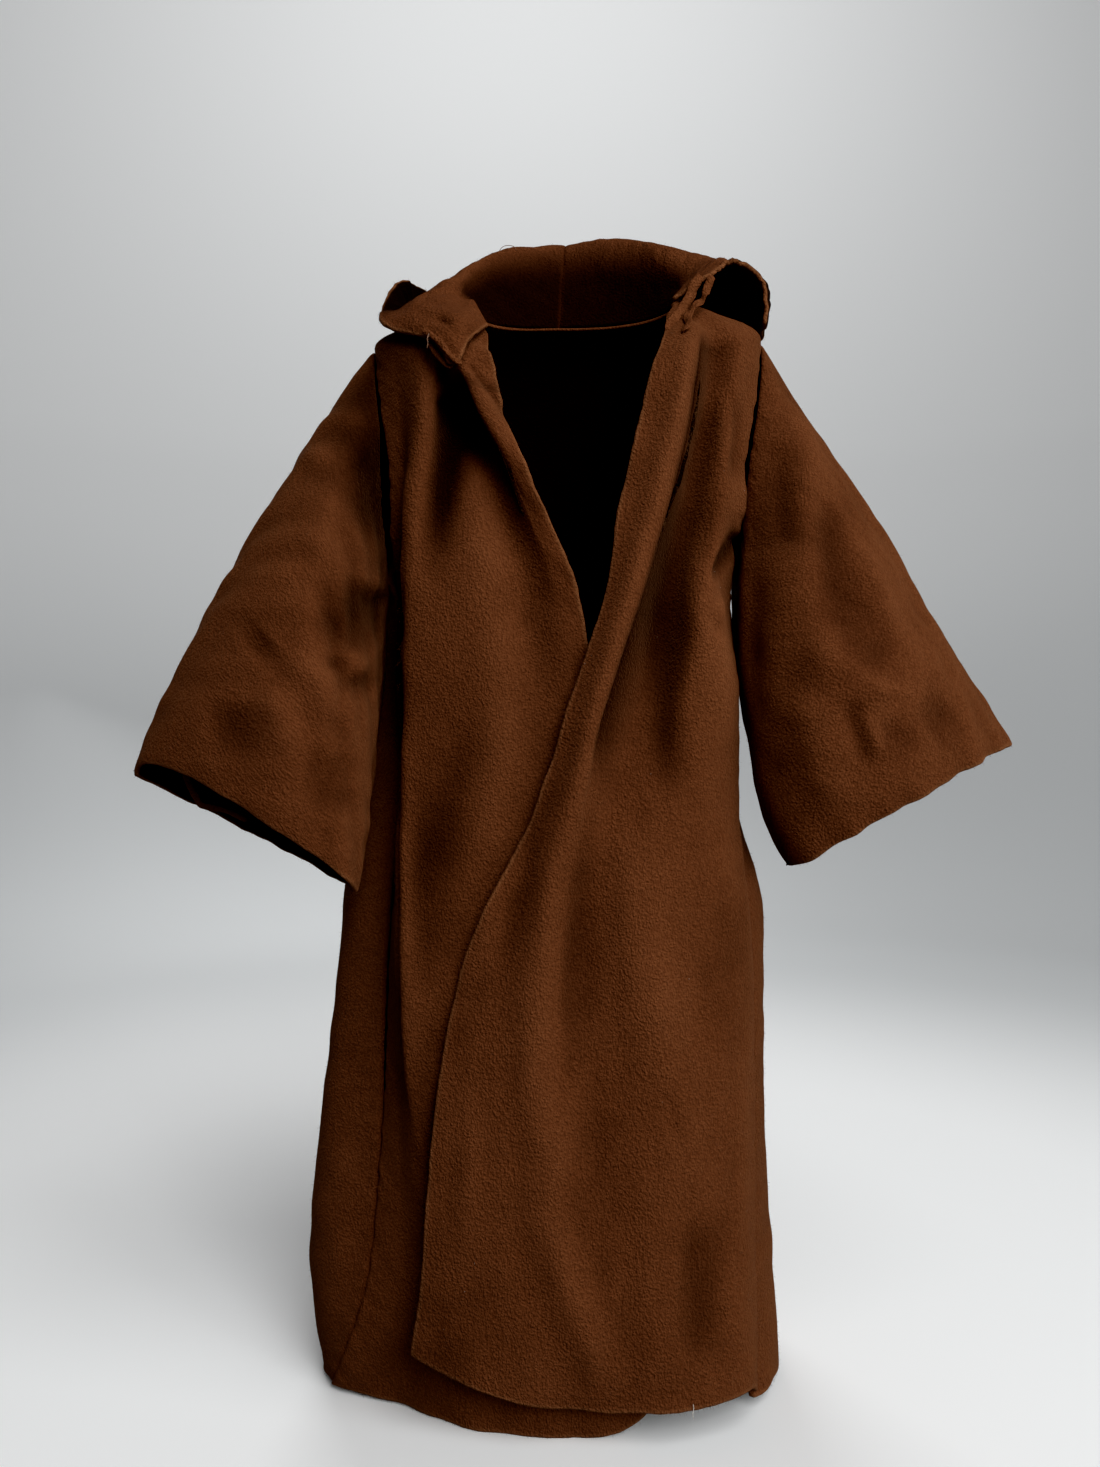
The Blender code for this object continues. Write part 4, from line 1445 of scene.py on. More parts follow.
# Creases of the left front: the deep valley beside the rolled lapel, the fold that drops from it to
# the hem, the gathered elbow of cloth below the arm, and soft ridges under the shoulder.
LEFT_CREASES = creases(
    ((-1.9, 4.4, 0.22, 0.05, 0.3), (30.6, 226, 29.2, 217.5, 27.6, 208.4, 26.1, 200.8, 23.9, 191.6,
     22.2, 184.5, 19.4, 175.2, 17, 167.6, 13.6, 157.7, 9.8, 145.3, 7.8, 138, 5, 126, 2, 112)),
    ((1.5, 1.5, 2.4, 0.1, 0.3), (27.2, 226, 26, 216.5, 24.2, 207.4, 22.6, 199.8, 20.4, 190.6, 18.6, 183.5,
     15.8, 174.2, 13.4, 166.6, 10.2, 156.7, 6.4, 144.3, 4, 136, 0.4, 122)),
    ((1.4, 4.4, 0.9, 0.12, 0.1), (6.9, 144.7, 0.7, 122.4, -1.9, 112.4, -3.7, 99.9, -5.5, 85.2, -6.1, 73,
     -4.3, 63.4, -2.4, 56, -2.5, 44.1, 0.6, 33.1, 4.4, 22.3, 9.2, 8)),
    ((-0.9, 3.6, 0.9, 0.2, 0.4), (4.5, 142.3, -4.3, 120.9, -8.5, 104.8, -12.4, 84)),
    ((1.1, 3.6, 1, 0.3, 0.4), (-8.3, 118.6, -13.2, 109.4, -16.3, 98.6, -18.7, 86)),
    ((-1.2, 4.6, 0.8, 0.3, 0.5), (5.7, 130.7, 3.1, 112.3, 1.9, 80, 1.7, 64.4)),
    ((1.4, 6.6, 0.9, 0.3, 0.4), (12.1, 130.1, 14, 112, 15.7, 94.6, 19.5, 79.8, 22.9, 58.8)),
    ((-0.5, 1.6, 1, 0.3, 0.4), (20, 70.7, 22.2, 62, 24.4, 55)),
    ((-1.5, 4.4, 0.9, 0.3, 0.2), (23.8, 192.3, 22.7, 172, 21.4, 159.2, 21, 145.8, 21.4, 124.1)),
    ((1.5, 4.4, 1, 0.3, 0.4), (30.6, 186.4, 29.1, 176.1, 27.9, 168.2, 30.8, 159.3, 33.3, 150.1,
     34.7, 130.2)),
    ((0.9, 2.6, 1, 0.3, 0.5), (33.8, 216.5, 34, 202, 32.6, 188)),
    ((-0.9, 1.8, 1, 0.3, 0.4), (36.8, 214, 37, 202, 36.6, 191)),
    ((0.9, 3, 1, 0.4, 0.3), (40, 196, 39.8, 190, 38.6, 184.6)),
    ((-2, 1.3, 1.5, 0.1, 0.4), (39.6, 183.4, 36.4, 178.4, 33.1, 174.1, 30.4, 169.5)),
    ((1, 1.5, 1, 0.4, 0.4), (33.4, 170.5, 32.2, 166, 31.6, 161)),
    ((-0.6, 1.1, 1, 0.4, 0.4), (29, 166.8, 30.4, 163.5, 32.2, 158.4)),
    ((0.6, 2.2, 1, 0.4, 0.4), (38.4, 74, 37.2, 52, 36.6, 30)),
    ((0.6, 2.6, 1, 0.4, 0.4), (-17.4, 76, -18.6, 50, -20.4, 24)),
    ((-0.8, 4, 1, 0.4, 0.2), (25, 50, 27, 30, 28.4, 12)),
    ((0.5, 4, 1, 0.5, 0.2), (15.4, 52, 18, 34, 20.4, 10)),
)

# Creases of the back, like the front's.
BACK_CREASES = creases(
    ((1.1, 4, 0.8), (-24, 214, -26.5, 190, -28, 168)),
    ((-1.2, 3.8, 1.2), (-18, 209, -20.5, 184, -20, 150)),
    ((0.9, 4.6, 0.9), (-6, 200, -9, 172, -7, 138, -10, 104)),
    ((-0.9, 4.2, 1), (4, 206, 5.5, 176, 3, 150)),
    ((1.1, 4.4, 0.8), (14, 210, 15, 186, 19, 158, 20, 126)),
    ((-1.1, 3.6, 1.1), (24, 206, 23, 180, 26, 156)),
    ((0.9, 3, 1), (31, 204, 32, 184, 35.5, 170)),
    ((-1, 2.4, 1.3, 0.2, 0.5), (-36, 178, -31, 170, -27, 156)),
    ((-1.1, 2.2, 1.4, 0.2, 0.5), (38, 180, 33, 171, 30, 159)),
    ((0.8, 4.6, 1), (-33, 120, -36, 84, -42, 52)),
    ((0.8, 4.8, 0.9), (8, 96, 9, 64, 6, 30)),
    ((-0.7, 4.2, 1), (-18, 92, -16, 60, -18, 26)),
    ((-0.8, 4.4, 1), (33, 104, 30, 78, 33, 40)),
)


@dataclass
class Back(Panel):
    """The back, in one piece from side seam to side seam."""

    broad: Wave = Wave(24.0, 0.40, 2.6)
    fine: Wave = Wave(8.0, 0.12, 1.6)
    seed: int = 61
    across_spans: int = 140
    hem: Line = ((-55.0, 1.0), (0.0, 0.0), (50.0, 2.6))
    edge_angle: float = 68.0
    edge_reach: float = 0.34
    seam_reach: float = 0.16
    full_by: float = 0.75
    from_depth: float = 12.0
    swell_levels: tuple[float, ...] = (88, 108, 125, 140, 155, 165, 172, 178, 184)
    swell_push: tuple[float, ...] = (0.0, 2.2, 4.4, 4.6, 4.4, 3.8, 2.9, 1.5, 0.0)
    swell_start: Pair = (-84.0, -100.0)
    swell_full: Pair = (-118.0, -144.0)
    fold_columns: tuple[str, ...] = ("top_x", "hem_x", "top_level", "width", "push")
    creases: tuple[Crease, ...] = BACK_CREASES
    crease_shade: float = 0.4
    folds: Line = (
        (-27, -42, 205, 6, 3.4),
        (-17, -25, 190, 5, -3.6),
        (-8, -12, 200, 5, 3),
        (2, 2, 185, 5, -3.2),
        (11, 15, 205, 5.5, 3.4),
        (20, 27, 190, 5, -3.4),
        (28, 39, 200, 6, 3),
    )

    def surface(self) -> Array:
        """The back's plain form: soft folds that grow down the body's girth.

        Returns:
            The grid of points.
        """
        down, across = grid(self.downs(), dense_ends(self.across_spans, 0.7, 0.7))
        hem_x, hem_height = np.array(self.hem, float).T
        bottom = np.interp(hem_x[0] + across * (hem_x[-1] - hem_x[0]), hem_x, hem_height)
        level = self.level(down, bottom)
        gap = GIRTH.gap_angle(level)
        right_shift = GIRTH.seam_angle(Side.RIGHT, level, behind=True) - gap + self.edge_angle
        left_shift = GIRTH.seam_angle(Side.LEFT, level, behind=True) + gap - self.edge_angle
        angle = -self.edge_angle + across * (2 * self.edge_angle - 360)
        angle = angle + right_shift * (1 - smooth_step(0, self.edge_reach, across))
        angle = angle + left_shift * smooth_step(1 - self.edge_reach, 1, across)
        plain = GIRTH.point(angle, level, 0.0)
        push = np.zeros_like(level)
        for row in self.folds:
            fold = dict(zip(self.fold_columns, row))
            fallen = np.clip(1 - level / fold["top_level"], 0, 1)
            middle = fold["top_x"] + (fold["hem_x"] - fold["top_x"]) * fallen
            ridge = np.exp(-(((plain[..., 0] - middle) / fold["width"]) ** 2))
            fade = smooth_step(0, self.full_by, fallen) * smooth_step(0, self.from_depth, plain[..., 1])
            push = push + fold["push"] * ridge * fade
        push = push + self.swell(angle, level)
        push = push + GIRTH.seam_push(Side.RIGHT, level) * (1 - smooth_step(0, self.seam_reach, across))
        push = push + GIRTH.seam_push(Side.LEFT, level) * smooth_step(1 - self.seam_reach, 1, across)
        return GIRTH.point(angle, level, push)

    def swell(self, angle: Array, level: Array) -> Array:
        """How far the back swells out behind the right sleeve."""
        start = 1 - smooth_step(self.swell_start[1], self.swell_start[0], angle)
        end = smooth_step(self.swell_full[1], self.swell_full[0], angle)
        return curve_through(self.swell_levels, self.swell_push, level) * start * end

    def build(self, name: str, fleece: Material) -> ClothWall:
        """Adds creases, both seams and the raw hem to the plain form.

        Args:
            name: the piece's name.
            fleece: its material.

        Returns:
            The wall, not yet made a mesh.
        """
        plain = self.surface()
        normal = normals_of(plain, False)
        normal = normal * np.sign(normal[..., 1].sum())
        from_right, down_run = run_length(plain, 1), run_length(plain, 0)
        from_left = from_right[:, -1:] - from_right
        from_seam = np.minimum(from_right, from_left)
        from_hem = down_run[-1:] - down_run
        soft = self.soft(plain, from_seam, down_run, (self.seed, self.seed + 1))
        fold = relief_of(self.creases, plain) + soft
        push = fold + SEAM.push(from_seam, down_run, self.seed + 2)
        push = push + self.hem_wave.at(self.seed + 3, from_right, 0.0) * np.exp(-from_hem / self.hem_reach)
        points = plain + normal * push[..., None]
        raw = np.exp(-from_hem / RAW_REACH)
        # Painted shade in the valleys and painted highlight on the crests of the creases and the soft
        # unevenness, weaker than on the fronts.
        shade = fold * self.crease_shade
        return ClothWall(name, points, fleece, raw=raw, seam=SEAM.mark(from_seam), fold=shade)


@dataclass
class Sleeve:
    """A wide set-in sleeve, from its armhole to its open cuff."""

    side: Side
    cuff_top: Triple
    cuff_bottom: Triple
    cuff_half_depth: float
    cuff_tilt: float
    front_fullness: float
    back_fullness: float
    top_arch: float
    under_arch: float
    cuff_bow: float
    front_creases: tuple[Crease, ...] = ()
    back_creases: tuple[Crease, ...] = ()
    crease_gain: float = 1.1
    crease_spread: float = 1.35
    crease_shade: float = 0.7
    seat: float = 0.2
    cuff_roundness: float = 0.35
    corner_room: float = 0.8
    front_lift: float = 0.0
    # Painted shade on the front of the sleeve near the armhole, and how far it reaches.
    armhole_shade: float = 0.0
    armhole_shade_reach: float = 19.0
    seed: int = 80
    broad: Wave = Wave(20.0, 0.34, 1.3)
    fine: Wave = Wave(7.0, 0.12)
    cuff_wave: Wave = Wave(10.0, 0.3, waves=7)
    cuff_reach: float = 4.0
    calm_at_seam: float = 8.0
    oval: Pair = (30.0, 18.0)
    fullness_spread: float = 0.8
    arch_spread: float = 0.6
    along_spans: int = 130
    round_spans: int = 150

    def surface(self, along: Array, turn: Array) -> Array:
        """The sleeve's plain form: armhole + (cuff - armhole) along, swollen by |sin(pi along)|^s.

        Args:
            along: from 0 at the armhole to 1 at the cuff.
            turn: once round from the top edge, down the front.

        Returns:
            The points.
        """
        side = self.side.value
        armhole = GIRTH.armhole(self.side, turn) + np.array([side * self.seat, 0.0, 0.0])
        lower = (1 - np.cos(2 * np.pi * turn)) / 2
        ahead = np.sin(2 * np.pi * turn)
        points = armhole + (self.cuff(lower, ahead) - armhole) * along[..., None]
        swell = np.abs(np.sin(np.pi * along))
        fullness = np.where(ahead > 0, self.front_fullness, self.back_fullness)
        points[..., 1] -= fullness * ahead * swell**self.fullness_spread
        run = np.array(self.cuff_top) - GIRTH.armhole(self.side, np.zeros(1))[0]
        outward = np.array([-run[2], 0.0, run[0]]) * side / np.hypot(run[0], run[2])
        arch = self.top_arch * (1 - lower) ** 2 - self.under_arch * lower**2
        return points + outward * (arch * swell**self.arch_spread)[..., None]

    def cuff(self, lower: Array, ahead: Array) -> Array:
        """Points of the open cuff: a flat leaf shape from its top corner to its bottom one.

        Args:
            lower: from 0 at the top corner to 1 at the bottom one.
            ahead: from -1 behind to 1 in front.

        Returns:
            The points.
        """
        top, bottom = np.array(self.cuff_top), np.array(self.cuff_bottom)
        cuff = top + (bottom - top) * lower[..., None]
        cuff[..., 1] -= self.cuff_half_depth * ahead * np.abs(ahead) ** self.cuff_roundness
        cuff[..., 1] -= self.corner_room * np.tanh(10 * ahead)
        cuff[..., 2] += self.cuff_tilt * ahead
        inward = GIRTH.armhole(self.side, np.array([0.0, 0.5])).mean(axis=0) - (top + bottom) / 2
        bow = self.cuff_bow * np.abs(ahead) + self.front_lift * np.clip(ahead, 0, None) * (1 - lower)
        return cuff + inward / np.linalg.norm(inward) * bow[..., None]

    def build(self, name: str, fleece: Material) -> ClothWall:
        """Adds creases, the armhole seam and the raw cuff to the plain form.

        Args:
            name: the piece's name.
            fleece: its material.

        Returns:
            The wall, not yet made a mesh.
        """
        along, turn = grid(dense_ends(self.along_spans, 0.8, 0.6), np.linspace(0, 1, self.round_spans + 1))
        plain = self.surface(along, turn)
        plain[:, -1] = plain[:, 0]
        normal = normals_of(plain[:, :-1], True)
        normal = np.concatenate([normal, normal[:, :1]], axis=1)
        centre = plain.mean(axis=1, keepdims=True)
        normal = normal * np.sign((normal * (plain - centre)).sum())
        from_seam = run_length(plain, 0)
        from_cuff = from_seam[-1:] - from_seam
        ahead = np.sin(2 * np.pi * turn)
        front, back = smooth_step(0.0, 0.5, ahead), smooth_step(0.0, 0.5, -ahead)
        fold = relief_of(self.front_creases, plain, self.crease_spread) * front
        fold = fold + relief_of(self.back_creases, plain, self.crease_spread) * back
        fold = fold * self.crease_gain
        seed = self.seed + self.side.value
        x, y, height = (plain[..., k] for k in range(3))
        soft = self.broad.at(seed, x + 3 * y, height) + self.fine.at(seed + 5, x + 2 * y, height)
        fold = fold + soft * smooth_step(0.0, self.calm_at_seam, from_seam)
        wide, deep = self.oval[0] * np.cos(2 * np.pi * turn), self.oval[1] * ahead
        push = fold + SEAM.push(from_seam, wide + deep, seed + 2)
        push = push + self.cuff_wave.at(seed + 4, wide, deep) * np.exp(-from_cuff / self.cuff_reach)
        points = plain + normal * push[..., None]
        points[:, -1] = points[:, 0]
        raw = np.exp(-from_cuff / RAW_REACH)
        # Painted shade and highlight from the creases, and painted shade on the front near the armhole.
        near = np.exp(-((from_seam / self.armhole_shade_reach) ** 2))
        shade = fold * self.crease_shade - self.armhole_shade * front * near
        return ClothWall(name, points, fleece, closed=True, raw=raw, seam=SEAM.mark(from_seam), fold=shade)


# Dents and ridges of the sleeves, in front and behind.
RIGHT_SLEEVE_FRONT = creases(
    ((-0.9, 3.6, 1.2, 0.4, 0.4), (-63.4, 155.6, -61.9, 157, -58.6, 160)),
    ((-1.9, 4.4, 1.2, 0.4, 0.2), (-52, 159.5, -46.9, 161, -40.2, 166, -37.6, 171.2)),
    ((-1.4, 1.5, 1.3, 0.2, 0.2), (-45.6, 156.4, -44.9, 153.2, -43.4, 150.7, -41.2, 149.8, -38, 150.6,
     -36, 152)),
    ((0.8, 1.5, 1, 0.3, 0.3), (-43.4, 157.4, -41.6, 154.2, -39.4, 153.6)),
    ((1.3, 3.2, 1, 0.3, 0.4), (-56.5, 153.9, -51.5, 152.8, -48.5, 150.7, -47.3, 141.3)),
    ((1, 2.2, 1.2, 0.3, 0.4), (-60.8, 148.9, -56.4, 144.8, -54.2, 140.7, -52.5, 131.3)),
    ((-1.3, 3.6, 1.1, 0.4, 0.4), (-74, 141.8, -69.6, 142.3, -65.8, 140.7, -58.1, 134.7)),
    ((0.9, 2.2, 1.3, 0.3, 0.5), (-60, 202.5, -54.7, 199.8, -44.8, 195.5)),
    ((-0.6, 2.2, 1, 0.3, 0.5), (-58, 197.5, -52, 195, -46, 192)),
    ((-1.3, 4.2, 1, 0.3, 0.4), (-39.6, 208.3, -40.2, 191.4, -41.4, 176.7)),
    ((0.9, 3.6, 1, 0.4, 0.4), (-47, 192, -49.5, 181, -50.5, 170)),
    ((-0.8, 2.6, 1.2, 0.4, 0.4), (-49, 139, -46, 130, -44.6, 119)),
)
RIGHT_SLEEVE_BACK = creases(
    ((1.1, 4, 1.2), (-48, 196, -55, 178, -62, 158)),
    ((-1.4, 3.8, 1), (-42, 184, -46, 166, -49, 148)),
    ((-1.1, 3.2, 1.2), (-72, 150, -63, 147, -55, 139)),
    ((0.9, 2.8, 1), (-46, 158, -51, 150, -54, 138)),
)
LEFT_SLEEVE_FRONT = creases(
    ((1.3, 2.4, 1.6, 0.2, 0.5), (52.2, 216.2, 52.8, 207, 52.8, 197.7, 51.8, 181.1, 51.4, 165.4)),
    ((-1.5, 3, 1, 0.3, 0.3), (48.5, 206.1, 46.7, 189.4, 46.9, 174.2)),
    ((-1.3, 4, 0.9, 0.3, 0.3), (54.8, 195.6, 56, 180.3, 57.7, 163.1, 61.8, 150)),
    ((0.6, 0.9, 1.3, 0.3, 0.4), (61.3, 149.6, 66, 148.4, 72.9, 148.9)),
    ((-0.6, 2, 1, 0.3, 0.4), (60.6, 151.4, 63.4, 155, 64, 160)),
    ((-0.8, 1.5, 1.1, 0.3, 0.3), (57.6, 148.2, 59.2, 141.7, 60.9, 135.7, 64.4, 132.3)),
    ((0.7, 1.1, 1, 0.3, 0.3), (60.4, 145.2, 62, 139.7, 65, 134.9)),
    ((-0.9, 3.2, 1, 0.4, 0.4), (64.2, 142.7, 68.4, 139.3, 73, 137)),
    ((-0.8, 3, 1, 0.4, 0.4), (72, 141.3, 77, 143.8, 82.2, 145.4)),
    ((1.2, 4.2, 0.7, 0.3, 0.3), (47.7, 150.8, 51.5, 136.6, 55.4, 122.5)),
    ((0.8, 4.6, 1, 0.4, 0.4), (62, 190, 66, 176, 72, 162)),
    ((0.8, 3, 1, 0.4, 0.4), (51, 163, 53.4, 156, 54.6, 149)),
)
LEFT_SLEEVE_BACK = creases(
    ((1, 4.2, 1.1), (50, 200, 57, 180, 66, 160)),
    ((-1.3, 3.8, 1), (45, 186, 50, 166, 52, 146)),
    ((-1, 3.2, 1.3), (78, 154, 69, 149, 61, 140)),
    ((0.8, 2.8, 1), (58, 164, 60, 152, 56, 138)),
)
RIGHT_SLEEVE = Sleeve(
    side=Side.RIGHT,
    cuff_top=(-90.6, -12.0, 131.2),
    cuff_bottom=(-41.5, -19.0, 107.5),
    cuff_half_depth=10.5,
    cuff_tilt=3.4,
    front_fullness=7.5,
    back_fullness=6.0,
    top_arch=3.4,
    under_arch=0.5,
    cuff_bow=1.4,
    front_lift=4.6,
    armhole_shade=1.5,
    front_creases=RIGHT_SLEEVE_FRONT,
    back_creases=RIGHT_SLEEVE_BACK,
)
LEFT_SLEEVE = Sleeve(
    side=Side.LEFT,
    cuff_top=(96.6, -8.0, 137.4),
    cuff_bottom=(48.0, -15.5, 111.4),
    cuff_half_depth=11.0,
    cuff_tilt=0.4,
    front_fullness=7.0,
    back_fullness=6.0,
    top_arch=0.6,
    under_arch=4.4,
    cuff_bow=2.0,
    front_creases=LEFT_SLEEVE_FRONT,
    back_creases=LEFT_SLEEVE_BACK,
)


@dataclass
class Hood:
    """Half of the thrown-back hood: ribs from the neckline over the roll, round the pouch, up to the rim."""

    side: Side
    creases: tuple[Crease, ...]
    columns: tuple[str, ...] = ("neck_angle", "seat", "crest", "inner", "outer", "rim")
    ribs: tuple = (
        (-49, 1.3, (-18.8, -18.8, 221.8), (-20, -21.2, 218.4), (-20.8, -21.8, 216), (-22.8, -21.8, 215.4)),
        (-58, 1.3, (-21.8, -18.6, 226.2), (-24.2, -19.6, 223.6), (-25.4, -19.8, 222.2),
         (-26.6, -19.6, 221.2)),
        (-71, 1.2, (-29, -9.6, 233), (-32.4, -10.6, 230.8), (-34.8, -11.2, 228.8), (-37.2, -11.6, 226.6)),
        (-88, 0.8, (-24.2, -3, 239.4), (-29.4, -1.6, 236.4), (-34.4, -1.6, 233.2), (-38.8, -2.4, 234.6)),
        (-110, 0.5, (-20.8, 4, 245.4), (-26, 10, 237), (-33.6, 12.6, 235), (-36, 7, 243.6)),
        (-140, 0.5, (-14.6, 14.4, 253), (-19.4, 23.4, 215), (-25.4, 30.4, 214), (-29, 23.6, 246.4)),
        (-180, 0.5, (1.5, 21.4, 256.8), (1.5, 26.4, 202), (1.5, 36, 201), (1.5, 37, 243)),
        (-218, 0.5, (16.6, 16.8, 257), (23, 25, 221), (29.6, 32, 214.6), (34, 32, 237.6)),
        (-245, 0.6, (25.6, 10.4, 252.6), (34.4, 15.2, 245.6), (41.4, 20, 238.2), (45.4, 21, 232.2)),
        (-262, 0.7, (32, 5.6, 247.2), (39.2, 6.6, 246.4), (45.2, 7.4, 239.2), (46, 7.4, 230.6)),
        (-278, 0.8, (32.6, -2.6, 243.6), (39.8, -1.6, 243.6), (45.8, -1, 238.4), (45.2, -1, 230)),
        (-290, 0.9, (31.8, -8.4, 238.6), (37.4, -6.4, 242.6), (43.8, -5.6, 239.2), (44.6, -6.6, 229.4)),
    )
    seed: int = 120
    broad: Wave = Wave(11.0, 0.22)
    fine: Wave = Wave(4.5, 0.08)
    rim_wave: Wave = Wave(7.0, 0.3, waves=7)
    rim_reach: float = 3.0
    calm_at_neck: float = 5.0
    calm_at_centre: float = 4.0
    centre_rib: int = 6
    half_gap: float = 0.0004
    over_spans: int = 120
    half_spans: int = 96

    def rib_points(self) -> Array:
        """For each rib, its five points: on the neckline, then its crest, inner, outer and rim."""
        ribs = []
        for row in self.ribs:
            rib = dict(zip(self.columns, row))
            neck = GIRTH.point(np.array(float(rib["neck_angle"])), np.array(GIRTH.neck), 0.0)
            neck[2] += rib["seat"]
            ribs.append([neck] + [np.array(rib[column]) for column in self.columns[2:]])
        return np.array(ribs)

    def surface(self, along: Array, over: Array) -> Array:
        """The hood's plain form: Catmull-Rom over each rib, then from rib to rib.

        Args:
            along: from 0 at the right corner to 1 at the left one.
            over: from 0 at the neckline to 1 at the rim.

        Returns:
            The points.
        """
        on_ribs = loose_curve_through(self.rib_points().transpose(1, 0, 2), over.reshape(-1))
        place = along.reshape(-1)
        last = on_ribs.shape[1] - 1
        spot = np.clip(place, 0, 1) * last
        k = np.clip(spot.astype(int), 0, last - 1)
        each = np.arange(len(place))
        near = [on_ribs[each, np.clip(k + step, 0, last)] for step in (-1, 0, 1, 2)]
        return catmull_rom(near, (spot - k)[:, None]).reshape(along.shape + (3,))

    def build(self, name: str, fleece: Material) -> ClothWall:
        """Adds the centre seam, unevenness and the raw rim to the half's plain form.

        Args:
            name: the piece's name.
            fleece: its material.

        Returns:
            The wall, not yet made a mesh.
        """
        right = self.side is Side.RIGHT
        centre = self.centre_rib / (len(self.ribs) - 1)
        span = (0.0, centre - self.half_gap) if right else (centre + self.half_gap, 1.0)
        places = dense_ends(self.half_spans, 0.0, 0.7)
        if not right:
            places = 1 - places[::-1]
        over, along = grid(dense_ends(self.over_spans, 0.3, 0.5), span[0] + places * (span[1] - span[0]))
        plain = self.surface(along, over)
        normal = normals_of(plain, False)
        run, over_run = run_length(plain, 1), run_length(plain, 0)
        from_centre = run[:, -1:] - run if right else run
        from_corner = run if right else run[:, -1:] - run
        from_rim = over_run[-1:] - over_run
        seed = self.seed + self.side.value
        soft = self.broad.at(seed, run, over_run) + self.fine.at(seed + 5, run, over_run)
        fade = smooth_step(0.0, self.calm_at_neck, over_run)
        fade = fade * smooth_step(0.0, self.calm_at_centre, from_centre)
        groove = SEAM.push(from_centre, over_run, seed + 2)
        push = soft * fade + (groove + relief_of(self.creases, plain)) * self.outward(normal)
        push = push + self.rim_wave.at(seed + 4, run, 0.0) * np.exp(-from_rim / self.rim_reach)
        points = plain + normal * push[..., None]
        # Painted shade of the two skins: the one that faces up at the crest gets the pouch and the collar.
        top, under = self.shade_of_skins(along, over)
        hollow_shade = (top, under) if self.outward(facing_out(points, False)) > 0 else (under, top)
        return ClothWall(
            name,
            points,
            fleece,
            raw=np.exp(-np.minimum(from_rim, from_corner) / RAW_REACH),
            seam=SEAM.mark(from_centre),
            centred=True,
            thickness=HOOD_CLOTH,
            hollow_shade=hollow_shade,
        )

    def shade_of_skins(self, along: Array, over: Array) -> tuple[Array, Array]:
        """The painted shade of each skin: in the pouch, a painted shadow of the neck on the collar behind it,
        and on the under skin, fading out a third to three fifths of the way to the rim.

        Args:
            along: from 0 at the right corner to 1 at the left one.
            over: from 0 at the neckline to 1 at the rim.

        Returns:
            The upper skin's share and the under skin's.
        """
        rib = along * (len(self.ribs) - 1)
        behind = smooth_step(2.4, 3.6, rib) * (1 - smooth_step(8.4, 9.6, rib))
        collar = (1 - smooth_step(0.10, 0.22, over)) * behind
        pouch = smooth_step(0.40, 0.58, over) * smooth_step(2.0, 3.0, rib)
        return np.maximum(collar * 0.9, pouch), 1 - smooth_step(0.30, 0.62, over)

    def outward(self, normal: Array) -> float:
        """1 if the normals point up, out of the roll, at the hood's crest, or -1."""
        return float(np.sign(normal[: len(normal) // 4, :, 2].sum()))


# Strips of raw cloth: the doubled edge at the hood's right corner, the twisted one where its left side
# joins the lapel, and the seam allowance that shows inside the right cuff. The others are loose threads.
# Each stands beside the name of its material.
TRIMS = {
    "right_hood": (
        ("hood", Strip("right_corner_strip", (
            -28.4, -19.4, 223.2, -26.9, -20.6, 221.8, -25.4, -21.8, 220.2, -24.1, -22.3, 218.9,
            -22.6, -22.9, 216.8, -21.4, -22.8, 215.3, -20.2, -22.2, 215.3), 1.3, 0.6, waver=0.16, seed=201)),
        ("hood", Strip("right_corner_under_strip", (
            -27.2, -18.8, 220.6, -26.3, -19.6, 219, -24.9, -20.3, 217.2, -23.4, -20.8, 215.6,
            -22.1, -21, 214.9), 1.4, 0.6, waver=0.14, seed=211)),
        ("thread", Strip("corner_thread", (
            -27.1, -21.4, 221.6, -27.3, -22, 220.4, -27.1, -22.1, 219.2,
            -27.3, -21.9, 218.3), 0.26, 0.2, waver=0.06, seed=251, sides=8, raw=1)),
        ("thread", Strip("neck_thread", (
            -14.6, 13.9, 253, -14.1, 13.7, 253.9, -13.3, 13.4, 254.6, -12.1, 13.2, 254.8, -10.8, 13.3, 254.6,
            -10.2, 13.8, 253.9), 0.13, 0.13, waver=0.04, seed=261, sides=8, raw=1)),
    ),
    "left_hood": (
        ("hood", Strip("left_corner_strip", (
            30.2, -8.8, 238.6, 28.8, -9.2, 236.4, 27.6, -9.8, 233.6, 26, -11, 230.4, 24.5, -12.8, 228.1,
            23.2, -14, 226.2, 22.2, -14.6, 224), 2.2, 0.6, twist=30, waver=0.16, seed=221)),
        ("hood", Strip("left_corner_outer_strip", (
            32.6, -8.8, 238.6, 31.6, -9.6, 236.6, 31, -10.4, 234.4, 29.9, -11, 232.6, 28.4, -12.2, 230.4,
            26.8, -13.8, 228, 26.6, -16.4, 225.2,
            25.2, -17.8, 223), 1.9, 0.6, twist=-50, waver=0.2, seed=231)),
    ),
    "right_sleeve": (
        ("sleeve", Strip("right_cuff_allowance", (
            -80.6, -10.4, 131.6, -79.7, -9.4, 128.9, -78.8, -8.4, 126.5, -77.6, -7.9, 124.6,
            -75.6, -7.4, 123.9, -71.7, -7.4, 122.9,
            -67.6, -8.4, 121.4), 1.5, 0.5, facing=(0.2, -1, -0.5), waver=0.1, seed=241, raw=1)),
    ),
    "left_front": (
        ("lint", Strip("hem_thread", (
            25.7, -29.6, 8.4, 25.8, -30, 7.6, 25.6, -30.2, 6.6,
            25.9, -30.1, 5.6), 0.16, 0.16, waver=0.05, seed=271, sides=8, raw=1)),
    ),
}

